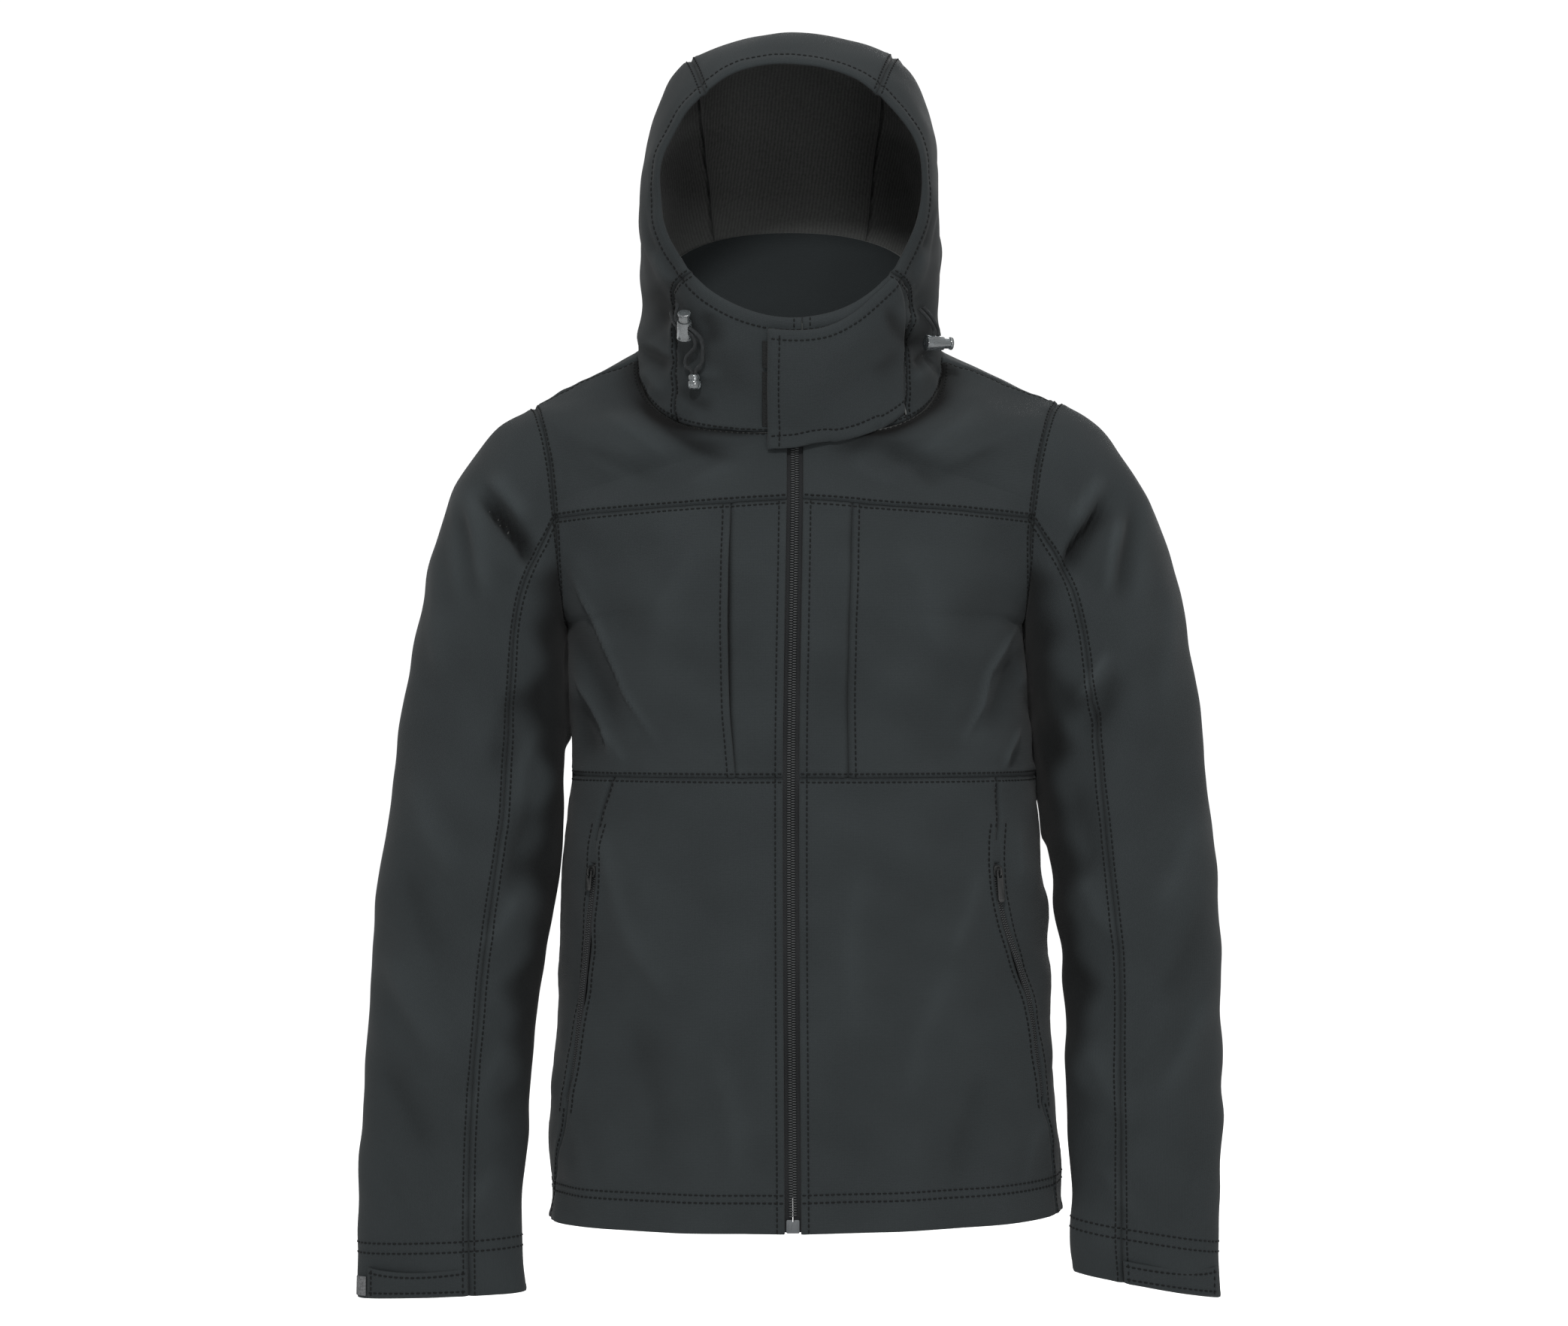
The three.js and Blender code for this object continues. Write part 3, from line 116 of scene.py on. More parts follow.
# Hood: t, crown y, crown z, chin y, chin z, half width, squareness
HOOD = [
    [0, -80, 222, -112, 19, 103, 0], [0.1, -52, 241, -113, 8, 110, 0.05],
    [0.2, -15, 252, -113, -3, 115, 0.09], [0.3, 28, 252, -112, -13, 117.5, 0.09],
    [0.4, 66, 238, -109, -23, 118, 0.08], [0.5, 95, 208, -106, -32, 118, 0.07],
    [0.6, 112, 168, -102.5, -40, 117.5, 0.06], [0.7, 117, 124, -99, -48, 117, 0.05],
    [0.8, 110, 82, -96, -55, 117.5, 0.03], [0.9, 95, 48, -93, -62, 119, 0.01],
    [1, 75, 18, -90, -69, 121, 0],
]
# Crown seam and chin seam of the hood: t, degrees
CROWN_SEAM = [[0, 139], [0.3, 141], [0.6, 145], [1, CROWN_DEG]]
CHIN_SEAM = [[0, 49], [0.4, 53], [1, CHIN_DEG]]
# Chest pocket seam: row, right x, left x
CHEST_SEAM = [[1, 43, 44], [1.5, 48, 44], [2, 49, 45], [3, 47, 47.5]]
# Slanted lower pocket seam: z, right x, left x
POCKET_SEAM = [
    [-688, 191, 211.5], [-651, 188, 208], [-600, 176, 198], [-562, 169, 193], [-515, 164, 186.5],
    [-482, 160.5, 177], [-450, 157.5, 166], [-420, 154, 160], [-386, 151.6, 159.5], [-360, 147, 162],
    [-336, 138, 160],
]
# Main folds seen from the front: x1, z1, x2, z2, height, half width
FOLDS = [
    [-168, -172, -142, -232, 3.2, 9], [-142, -232, -128, -269, 2.4, 9],
    [-166, -250, -137, -322, 2.6, 8], [-186, -55, -128, -101, 3.0, 16],
    [-127, -411, -53, -545, 3.4, 26], [-150, -480, -110, -640, -3.0, 22],
    [176, -222, 142, -295, -3.6, 10], [142, -295, 132, -314, -2.6, 9], [183, -293, 165, -317, 2.4, 9],
    [190, -55, 130, -96, 3.0, 16], [120, -400, 60, -530, 3.0, 26], [150, -520, 120, -650, -2.8, 22],
    [-238, -118, -208, -158, -5.5, 12], [-262, -104, -224, -168, 4.0, 12],
    [-275, -134, -278, -190, 2.6, 10], [-198, -300, -216, -420, -4.0, 12],
    [-262, -330, -222, -440, 3.4, 16], [-300, -470, -262, -560, 3.0, 16],
    [252, -120, 222, -174, -5.5, 12], [276, -104, 238, -172, 4.0, 12], [290, -134, 294, -190, 2.6, 10],
    [240, -276, 208, -318, -4.6, 11], [258, -330, 226, -420, 3.4, 14], [312, -460, 272, -560, 3.0, 16],
    [-120, 60, -84, 150, 2.4, 16], [118, 50, 86, 140, 2.4, 16],
]


# Small helpers

def read(table, key):
    """Interpolates the columns of a table whose first column is the key."""
    rows = np.array(table, dtype=float)
    keys, values = rows[:, 0], rows[:, 1:]
    last = len(keys) - 1
    index = np.arange(last + 1)
    before = np.maximum(index - 1, 0)
    after = np.minimum(index + 1, last)
    slopes = (values[after] - values[before]) / (keys[after] - keys[before])[:, None]
    at = np.clip(np.asarray(key, dtype=float), keys[0], keys[-1])
    i = np.clip(np.searchsorted(keys, at, side="right") - 1, 0, last - 1)
    h = (keys[i + 1] - keys[i])[..., None]
    q = ((at - keys[i])[..., None]) / h
    q2 = q * q
    q3 = q2 * q
    out = (2 * q3 - 3 * q2 + 1) * values[i] + (q3 - 2 * q2 + q) * slopes[i] * h
    out = out + (3 * q2 - 2 * q3) * values[i + 1] + (q3 - q2) * slopes[i + 1] * h
    return np.moveaxis(out, -1, 0)


def mix(a, b, t):
    """Goes from a to b as t goes from 0 to 1."""
    return a + (b - a) * t


def ease(t):
    """0 below 0, 1 above 1, and a soft step between them."""
    c = np.clip(t, 0, 1)
    return c * c * (3 - 2 * c)


def bell(d, width):
    """1 at distance 0, fading over about the width."""
    return np.exp(-((d / width) ** 2))


def unit(v):
    """Vectors of length 1 in the same directions."""
    return v / np.maximum(np.linalg.norm(v, axis=-1, keepdims=True), 1e-9)


def vec(x, y, z):
    """Points from three arrays of coordinates."""
    return np.stack(np.broadcast_arrays(x, y, z), axis=-1).astype(float)


def column(side):
    """Column of a table of the two sides: wearer's right, wearer's left."""
    return 0 if side < 0 else 1


def lengths(line):
    """Distance in mm of each point of a line from its start."""
    return np.concatenate([[0], np.cumsum(np.linalg.norm(np.diff(line, axis=0), axis=1))])


def grid_lengths(grid):
    """Distance in mm of each grid point from the first row, and from the first column."""
    step_u = np.linalg.norm(np.diff(grid, axis=0), axis=-1)
    step_v = np.linalg.norm(np.diff(grid, axis=1), axis=-1)
    across = np.concatenate([np.zeros((1, grid.shape[1])), np.cumsum(step_u, axis=0)])
    along = np.concatenate([np.zeros((grid.shape[0], 1)), np.cumsum(step_v, axis=1)], axis=1)
    return across, along


def pick(at, far, data):
    """Values of a line's points at the given distances along it."""
    return np.stack([np.interp(at, far, data[:, k]) for k in range(data.shape[1])], axis=-1)


def put(name, data):
    """A new object of the scene."""
    made = bpy.data.objects.new(name, data)
    bpy.context.scene.collection.objects.link(made)
    return made


# Forms of the garment

def fold_height(x, z):
    """How far the main folds stand out, in mm."""
    total = np.zeros(np.shape(x))
    for x1, z1, x2, z2, height, width in FOLDS:
        dx, dz = x2 - x1, z2 - z1
        t = np.clip(((x - x1) * dx + (z - z1) * dz) / (dx * dx + dz * dz), 0, 1)
        total = total + height * bell(np.hypot(x - x1 - dx * t, z - z1 - dz * t), width)
    return total


def armhole(side, s):
    """Points of the armhole seam: s is 0 at the armpit and 0.5 on the shoulder, by way of the front."""
    a = 2 * math.pi * s
    depth = np.where(np.sin(a) > 0, ARMHOLE_FRONT, ARMHOLE_BACK)
    x = read(ARMHOLE_X, s)[column(side)]
    return vec(side * x, -depth * np.sin(a), ARMHOLE_MID_Z - ARMHOLE_HALF * np.cos(a))


def neckline(deg):
    """Points of the neck seam by degrees from the centre front."""
    x, y, z = read(NECK, np.abs(deg))
    return vec(np.sign(deg) * x, y, z)


def body_row(side, front, v):
    """Ends and sweep of one row of the body, from the centre line to the side."""
    v = np.asarray(v, dtype=float)
    neck_row = NECK_FRONT_ROW if front else NECK_BACK_ROW
    share = np.clip((v - neck_row) / (4 - neck_row), 0, 1)
    high = neckline(side * mix(0 if front else 180, SIDE_NECK_DEG, share))
    if front:
        high[..., 0] += read(ZIP_X, high[..., 2])[0] * (1 - ease(share * 2))
        z = np.interp(v, [0, 1, 2, 3, neck_row], [HEM_Z, WAIST_Z, -205, YOKE_Z, NECK_FRONT_Z])
        low = vec(read(ZIP_X, z)[0], read(CENTRE_Y, z)[0], z)
    else:
        z = np.interp(v, [0, 1, 2, 3, neck_row], [HEM_Z, WAIST_Z, -205, -110, NECK_BACK_Z])
        low = vec(0 * z, read(CENTRE_Y, z)[1], z)
    centre = np.where((v > neck_row)[..., None], high, low)
    s = np.where(v < 3, YOKE_S * (v - 2), mix(YOKE_S, 0.5, v - 3))
    upper = armhole(side, s if front else 1 - s)
    hem = HEM_Z if side < 0 else HEM_Z + 6
    z = np.where(v < 1, mix(hem, WAIST_Z, v), mix(WAIST_Z, ARMPIT_Z, v - 1))
    lower = vec(side * read(SIDE_X, z)[column(side)], 0 * z, z)
    edge = np.where((v >= 2)[..., None], upper, lower)
    sweep = np.where(v < 3, mix(90, 58, ease(v - 2)), mix(58, 18, ease(v - 3)))
    return centre, edge, np.radians(sweep), 0.04 * (1 - ease(v - 2))


class Skin:
    """A cloth form: a function of two shares that gives points in millimetres."""

    def __init__(self, at, sign, u, v):
        self.at, self.sign, self.u, self.v = at, sign, u, v

    def normal(self, u, v):
        u, v = np.broadcast_arrays(np.asarray(u, dtype=float), np.asarray(v, dtype=float))
        du = (self.u[1] - self.u[0]) * 0.0015
        dv = (self.v[1] - self.v[0]) * 0.0015
        a = self.at(np.minimum(u + du, self.u[1]), v) - self.at(np.maximum(u - du, self.u[0]), v)
        b = self.at(u, np.minimum(v + dv, self.v[1])) - self.at(u, np.maximum(v - dv, self.v[0]))
        return unit(np.cross(a, b)) * self.sign


def body_skin(side, front):
    """One half of the body: u from the centre line to the side, v by the rows up to the neck."""
    def at(u, v):
        u, v = np.broadcast_arrays(np.asarray(u, dtype=float), np.asarray(v, dtype=float))
        centre, edge, sweep, bulge = body_row(side, front, v)
        swell = 1 + bulge * np.sin(math.pi * u) ** 2
        sx = swell * np.sin(u * sweep) / np.sin(sweep)
        sy = 1 - swell * (np.cos(u * sweep) - np.cos(sweep)) / (1 - np.cos(sweep))
        x = mix(centre[..., 0], edge[..., 0], sx)
        y = mix(centre[..., 1], edge[..., 1], sy)
        z = mix(centre[..., 2], edge[..., 2], u)
        if front:
            y = y - fold_height(x, z) * ease((1 - u) / 0.12) * ease(u / 0.08)
        return vec(x, y, z)
    return Skin(at, side if front else -side, (0, 1), (0, 4))


def sleeve_skin(side):
    """A sleeve: s once round it from under the arm by way of the front, k from the armhole to the cuff."""
    table = SLEEVE_RIGHT if side < 0 else SLEEVE_LEFT

    def ring(s, k):
        ix, iz, ox, oz, half, cy = read(table, k * SLEEVE_KEYS)
        a = 2 * math.pi * s
        c = np.cos(a)
        x = side * ((ix + ox) / 2 - (ox - ix) / 2 * c)
        return vec(x, cy - half * np.sin(a), (iz + oz) / 2 - (oz - iz) / 2 * c)

    def at(s, k):
        s, k = np.broadcast_arrays(np.asarray(s, dtype=float), np.asarray(k, dtype=float))
        p = ring(s, k)
        start = armhole(side, s % 1) - ring(s, np.zeros(s.shape))
        p = p + start * (1 - ease(k / 0.22))[..., None]
        facing = np.maximum(np.sin(2 * math.pi * s), 0)
        calm = ease(k / 0.12) * ease((0.97 - k) / 0.06) * ease(facing * 2.5)
        p[..., 1] -= fold_height(p[..., 0], p[..., 2]) * calm
        return p
    return Skin(at, -side, (-1, 2), (0, 1))


def hood_at(deg, t):
    """Points of the hood: degrees from the centre front, t from the face edge to the neck seam."""
    deg, t = np.broadcast_arrays(np.asarray(deg, dtype=float), np.asarray(t, dtype=float))
    deg = np.where(deg > 180, deg - 360, deg)
    a = np.radians(deg)
    c = np.cos(a)

    def ring(key):
        by, bz, fy, fz, half, square = read(HOOD, key)
        swell = np.where(c < 0, 1 + square * np.sin(2 * a) ** 2, 1)
        y = (by + fy) / 2 - (by - fy) / 2 * c * swell
        return vec(half * np.sin(a) * swell, y, (bz + fz) / 2 - (bz - fz) / 2 * c * swell)

    p = ring(t)
    settle = neckline(deg) - ring(np.ones(t.shape))
    p = p + settle * ease((t - 0.5) / 0.5)[..., None]
    p[..., 0] += 2.5 * (1 - ease(np.abs(deg) / 60))
    facing = ease((100 - np.abs(deg)) / 40) * ease((np.abs(deg) - 15) / 30)
    fold = fold_height(p[..., 0], p[..., 2]) * facing * ease(t / 0.1) * ease((1 - t) / 0.1)
    p[..., 0] += np.sign(deg) * fold
    return p


HOOD_SKIN = Skin(hood_at, -1, (-360, 360), (0, 1))
FRONT = {-1: body_skin(-1, True), 1: body_skin(1, True)}
BACK = {-1: body_skin(-1, False), 1: body_skin(1, False)}
SLEEVE = {-1: sleeve_skin(-1), 1: sleeve_skin(1)}


def share_at_x(side, front, v, x):
    """Share of a body row that lands at a given x."""
    centre, edge, sweep, bulge = body_row(side, front, v)
    goal = (x - centre[..., 0]) / (edge[..., 0] - centre[..., 0]) * np.sin(sweep)
    low = np.zeros(np.shape(goal))
    high = np.ones(np.shape(goal))
    for _ in range(40):
        u = (low + high) / 2
        short = (1 + bulge * np.sin(math.pi * u) ** 2) * np.sin(u * sweep) < goal
        low = np.where(short, u, low)
        high = np.where(short, high, u)
    return (low + high) / 2


def find_on(skin, x, z, u, v):
    """Finds where a skin passes through a given x and z."""
    du = (skin.u[1] - skin.u[0]) * 1e-4
    dv = (skin.v[1] - skin.v[0]) * 1e-4
    a, b = float(u), float(v)
    for _ in range(30):
        p, pu, pv = skin.at([a, a + du, a], [b, b, b + dv])
        j = [(pu[0] - p[0]) / du, (pv[0] - p[0]) / dv, (pu[2] - p[2]) / du, (pv[2] - p[2]) / dv]
        det = j[0] * j[3] - j[1] * j[2]
        ex, ez = x - p[0], z - p[2]
        a += 0.8 * (j[3] * ex - j[1] * ez) / det
        b += 0.8 * (j[0] * ez - j[2] * ex) / det
        b = min(max(b, skin.v[0]), skin.v[1] - 0.001)
    return a, b


def front_edge_share(side, v):
    """Share of a front row at the edge beside the zip."""
    centre = body_row(side, True, v)[0]
    return share_at_x(side, True, v, centre[..., 0] + side * FRONT_EDGE)


def chest_seam_share(side, v):
    """Share of a front row at the chest pocket's seam."""
    return share_at_x(side, True, v, side * read(CHEST_SEAM, v)[column(side)])


def pocket_seam_share(side, v):
    """Share of a front row at the lower pocket's seam."""
    z = mix(HEM_Z, WAIST_Z, np.asarray(v, dtype=float))
    return share_at_x(side, True, v, side * read(POCKET_SEAM, z)[column(side)])


def chin_seam(t):
    """Degrees round the hood of the seam beside the chin."""
    return read(CHIN_SEAM, t)[0]


def crown_seam(t):
    """Degrees round the hood of the seam beside its centre piece."""
    return read(CROWN_SEAM, t)[0]


def armhole_normal(side, s, for_sleeve):
    """Out direction along the armhole seam, shared by the body and the sleeve."""
    turn = np.asarray(s, dtype=float) % 1
    half = np.minimum(turn, 1 - turn)
    v = np.where(half < YOKE_S, 2 + half / YOKE_S, 3 + (half - YOKE_S) / (0.5 - YOKE_S))
    body = np.where((turn <= 0.5)[..., None], FRONT[side].normal(1, v), BACK[side].normal(1, v))
    sleeve = SLEEVE[side].normal(turn, 0)
    a, b = (sleeve, body) if for_sleeve else (body, sleeve)
    d = np.maximum((a * b).sum(axis=-1, keepdims=True), 0)
    return unit(a + b * ease(d * 2))


def shares(length, step, near=(0.8, 1.8, 3.0, 4.4, 6.4)):
    """Shares of a length in mm: close together near both ends, a step apart between them."""
    ends = [d for d in near if d < length / 2 - step / 2]
    inner = length - 2 * ends[-1]
    count = max(int(round(inner / step)), 1)
    middle = [ends[-1] + inner * i / count for i in range(1, count)]
    places = [0] + ends + middle + [length - d for d in reversed(ends)] + [length]
    return np.array(places) / length


# Surface shape of the cloth

SEED = np.random.default_rng(11)


def random_waves(table):
    """Three waves in random directions for each row: wave length and height in mm."""
    return [(unit(SEED.normal(size=3)) * 2 * math.pi / length, SEED.uniform(0, 6.28), height)
            for length, height in table for _ in range(3)]


WAVES = random_waves([(110, 0.6), (86, 0.5), (70, 0.45), (58, 0.35), (46, 0.25), (37, 0.2), (29, 0.12)])
RIPPLES = random_waves([(24, 0.3), (17, 0.3), (12, 0.25), (9, 0.15)])


def seam_roll(d):
    """The cloth dips into a seam and swells beside it, by the distance in mm from the seam."""
    return 0.5 * bell(d - 5, 2.6) - 1.15 * bell(d, 1.3)


def swells(p, table):
    """A sum of slow sines through the cloth, in mm."""
    total = np.zeros(p.shape[:-1])
    for wave, phase, amount in table:
        total = total + amount * np.sin(p @ wave + phase)
    return total


def creases(x, z, table):
    """Soft ridges and troughs, steeper on one side: height, half width, then the points of the line."""
    total = np.zeros(np.shape(x))
    for height, width, *line in table:
        line = np.array(line, dtype=float)
        steps = np.linalg.norm(np.diff(line, axis=0), axis=1)
        starts = np.concatenate([[0], np.cumsum(steps)])
        near = np.full(np.shape(x), 1e9)
        along = np.zeros(np.shape(x))
        for (x1, z1), (x2, z2), step, start in zip(line[:-1], line[1:], steps, starts):
            t = np.clip(((x - x1) * (x2 - x1) + (z - z1) * (z2 - z1)) / step ** 2, 0, 1)
            dx, dz = x - x1 - (x2 - x1) * t, z - z1 - (z2 - z1) * t
            d = np.hypot(dx, dz) * np.sign((x2 - x1) * dz - (z2 - z1) * dx)
            closer = np.abs(d) < np.abs(near)
            near = np.where(closer, d, near)
            along = np.where(closer, (start + t * step) / starts[-1], along)
        spread = width * np.where(near > 0, 1.5, 0.75)
        ends = ease((along + 0.02) / 0.3) * ease((1.02 - along) / 0.35)
        total = total + height * bell(near, spread) * ends
    return total


class Panel:
    """One cut piece: its outer grid, its inner grid and the distance in mm from each edge."""

    def __init__(self, name, points, normals, wall):
        self.name, self.base, self.normals, self.wall = name, points, normals, wall
        self.across, self.along = grid_lengths(points)
        self.far = {
            "u0": self.across, "u1": self.across[-1] - self.across,
            "v0": self.along, "v1": self.along[:, -1:] - self.along,
        }
        self.push = np.zeros(points.shape[:-1])
        # Painted light and shade in the cloth's colour: below 0 darker, above 0 lighter
        self.shade = np.zeros(points.shape[:-1])
        a = points[1:, :-1] - points[:-1, :-1]
        b = points[:-1, 1:] - points[:-1, :-1]
        c = points[1:, 1:] - points[1:, :-1]
        d = points[1:, 1:] - points[:-1, 1:]
        cells = np.linalg.norm(np.cross(a, b), axis=-1) + np.linalg.norm(np.cross(c, d), axis=-1)
        self.area = cells.sum() / 2
        self.flat = (self.across[-1].max(), self.along[:, -1].max())

    def finish_edges(self, seams="", folds="", pucker=0.35):
        """Rolls the cloth down into each seam with painted shade in its groove, puckers it a little, and
        thickens each folded edge.
        """
        ripple = swells(self.base, RIPPLES)
        for edge in seams.split():
            d = self.far[edge]
            self.push += seam_roll(d) - 0.35 * bell(d, 3.2)
            self.push += pucker * ripple * bell(d - 3, 7)
            # Painted shade in the seam's groove
            self.shade -= 0.3 * bell(d, 1.5)
        for edge in folds.split():
            d = self.far[edge]
            self.push += 0.3 * ease((6 - d) / 2) - 0.5 * bell(d, 0.9)
            self.push += pucker * 0.6 * ripple * bell(d - 4, 6)

    def outer(self):
        """Outer and inner grid of the wall, drawn back a little from the neighbouring pieces."""
        grid = self.base + self.normals * self.push[..., None]
        inner = grid - self.normals * self.wall
        for g in (grid, inner):
            g[0] += unit(grid[1] - grid[0]) * HALF_GAP
            g[-1] += unit(grid[-2] - grid[-1]) * HALF_GAP
            g[:, 0] += unit(grid[:, 1] - grid[:, 0]) * HALF_GAP
            g[:, -1] += unit(grid[:, -2] - grid[:, -1]) * HALF_GAP
        return grid, inner


def wall_object(name, outer, inner, mats, far=None, shade=None, weld=None, roll=0.4):
    """Builds a closed cloth wall in metres from matching outer and inner grids in mm.
    Its rim bulges by the roll. The weld joins points, and leaves out the strip after one row."""
    nu, nv = outer.shape[:2]
    ids = np.arange(nu * nv).reshape(nu, nv)
    strips = np.ones(nu - 1, dtype=bool)
    if weld is not None:
        ids = weld[0](ids)
        strips[weld[1]] = False
    corners = [ids[:-1, :-1], ids[1:, :-1], ids[1:, 1:], ids[:-1, 1:]]
    quads = np.stack(corners, axis=-1)[strips].reshape(-1, 4)
    top = outer.reshape(-1, 3)
    low = inner.reshape(-1, 3)
    face_normal = np.cross(top[quads[:, 2]] - top[quads[:, 0]], top[quads[:, 3]] - top[quads[:, 1]])
    if (face_normal * (top - low)[quads[:, 0]]).sum() < 0:
        quads = quads[:, ::-1]
    edges = np.concatenate([quads[:, [k, (k + 1) % 4]] for k in range(4)])
    code = edges[:, 0].astype(np.int64) * (nu * nv) + edges[:, 1]
    back = edges[:, 1].astype(np.int64) * (nu * nv) + edges[:, 0]
    rim = edges[~np.isin(code, back)]
    n = len(top)
    out = np.zeros((n, 3))
    along = unit(top[rim[:, 1]] - top[rim[:, 0]])
    away = unit(np.cross(along, (top - low)[rim[:, 0]]))
    for k in range(2):
        np.add.at(out, rim[:, k], away)
    middle = (top + low) / 2 + unit(out) * roll
    points = np.concatenate([top, low, middle])
    faces = [quads, quads[:, ::-1] + n]
    a, b = rim[:, 0], rim[:, 1]
    faces.append(np.stack([b, a, a + 2 * n, b + 2 * n], axis=-1))
    faces.append(np.stack([b + 2 * n, a + 2 * n, a + n, b + n], axis=-1))
    kinds = np.concatenate([np.full(len(f), k) for f, k in zip(faces, (0, 1, 0, 0))])
    faces = np.concatenate(faces)
    used = np.unique(faces)
    renumber = np.zeros(3 * n, dtype=int)
    renumber[used] = np.arange(len(used))
    mesh = bpy.data.meshes.new(name)
    mesh.from_pydata((points[used] * MM).tolist(), [], renumber[faces].tolist())
    mesh.polygons.foreach_set("use_smooth", np.ones(len(faces), dtype=bool))
    for m in mats:
        mesh.materials.append(m)
    mesh.polygons.foreach_set("material_index", kinds if len(mats) > 1 else np.zeros(len(faces), dtype=int))
    u, v = grid_lengths(outer) if far is None else far
    uv = np.tile(np.stack([u, v], axis=-1).reshape(-1, 2), (3, 1))[used] * MM
    loops = np.zeros(len(mesh.loops), dtype=int)
    mesh.loops.foreach_get("vertex_index", loops)
    layer = mesh.uv_layers.new(name="cut")
    layer.data.foreach_set("uv", uv[loops].ravel())
    # The painted light and shade goes to every point as the shade attribute
    darker = np.zeros((nu, nv)) if shade is None else shade
    values = np.tile(darker.reshape(-1), 3)[used]
    mesh.attributes.new("shade", "FLOAT", "POINT").data.foreach_set("value", values)
    mesh.update()
    return put(name, mesh)


PANELS = {}


def place_panel(panel, nodes, mats, weld=None, roll=0.4):
    """Makes a cut piece, puts it on its node and keeps it for sewing."""
    outer, inner = panel.outer()
    made = wall_object(panel.name, outer, inner, mats, (panel.across, panel.along), panel.shade, weld, roll)
    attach(made, "jacket")
    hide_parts(*nodes)
    panel.outer_grid = outer
    PANELS[panel.name] = panel


# Finishes

def linear(colour):
    """An sRGB hex colour as linear values with full alpha."""
    parts = [int(colour[i:i + 2], 16) / 255 for i in (1, 3, 5)]
    return [c / 12.92 if c <= 0.04045 else ((c + 0.055) / 1.055) ** 2.4 for c in parts] + [1]


def add(tree, kind, inputs=(), **settings):
    """Adds one shader node with its settings, and its inputs as values or links."""
    made = tree.nodes.new("ShaderNode" + kind)
    for name, value in settings.items():
        setattr(made, name, value)
    for socket, value in inputs:
        if isinstance(value, bpy.types.NodeSocket):
            tree.links.new(value, made.inputs[socket])
        else:
            made.inputs[socket].default_value = value
    return made


def finish(name, **values):
    """A new material with its shader's own values set."""
    made = bpy.data.materials.new(name)
    made.use_nodes = True
    shader = made.node_tree.nodes["Principled BSDF"]
    for socket, value in values.items():
        shader.inputs[socket.replace("_", " ")].default_value = value
    return made, made.node_tree, shader


def bands(period_mm):
    """Scale of a wave texture whose stripes are that far apart on coordinates in metres."""
    return 2 * math.pi / 20 / (period_mm * MM)


def tone(tree, shader, colour, changes):
    """Makes the base colour lighter or darker by a sum of small changes."""
    total = 1.0
    for source, amount, middle in changes:
        steps = [(0, source), (1, amount), (2, -amount * middle)]
        scaled = add(tree, "Math", steps, operation="MULTIPLY_ADD")
        total = add(tree, "Math", [(0, scaled.outputs[0]), (1, total)], operation="ADD").outputs[0]
    value = add(tree, "HueSaturation", [("Value", total), ("Color", linear(colour))])
    tree.links.new(value.outputs[0], shader.inputs["Base Color"])


def softshell(name, colour):
    """Woven stretch polyester, dyed charcoal: dull, with a faint sheen and a fine square weave.
    The real threads are about 0.35 mm apart and would not show, so they are drawn 1.3 mm apart."""
    made, tree, shader = finish(name, Roughness=0.92, Sheen_Weight=0.02, Sheen_Roughness=0.5,
                                Specular_IOR_Level=0.1)
    uv = add(tree, "TexCoord").outputs["UV"]
    warp = add(tree, "TexWave", [("Vector", uv), ("Scale", bands(1.3)), ("Distortion", 0.6), ("Detail", 1)])
    weft = add(tree, "TexWave", [("Vector", uv), ("Scale", bands(1.3)), ("Distortion", 0.6), ("Detail", 1)],
               bands_direction="Y")
    weave = add(tree, "Math", [(0, warp.outputs["Fac"]), (1, weft.outputs["Fac"])], operation="MULTIPLY")
    slub = add(tree, "TexNoise", [("Vector", uv), ("Scale", 620), ("Detail", 3)])
    patch = add(tree, "TexNoise", [("Vector", uv), ("Scale", 26), ("Detail", 4)])
    # Painted shade and painted highlights, read from the cut pieces' shade attribute
    edge = add(tree, "Attribute", attribute_name="shade")
    tone(tree, shader, colour, [
        (edge.outputs["Fac"], 1, 0), (slub.outputs["Fac"], 0.34, 0.5),
        (patch.outputs["Fac"], 0.22, 0.5), (weave.outputs[0], 0.2, 0.25),
    ])
    height = add(tree, "Math", [(0, slub.outputs["Fac"]), (1, 0.8), (2, weave.outputs[0])],
                 operation="MULTIPLY_ADD")
    bump = add(tree, "Bump", [("Strength", 0.3), ("Distance", 0.0005), ("Height", height.outputs[0])])
    tree.links.new(bump.outputs[0], shader.inputs["Normal"])
    return made


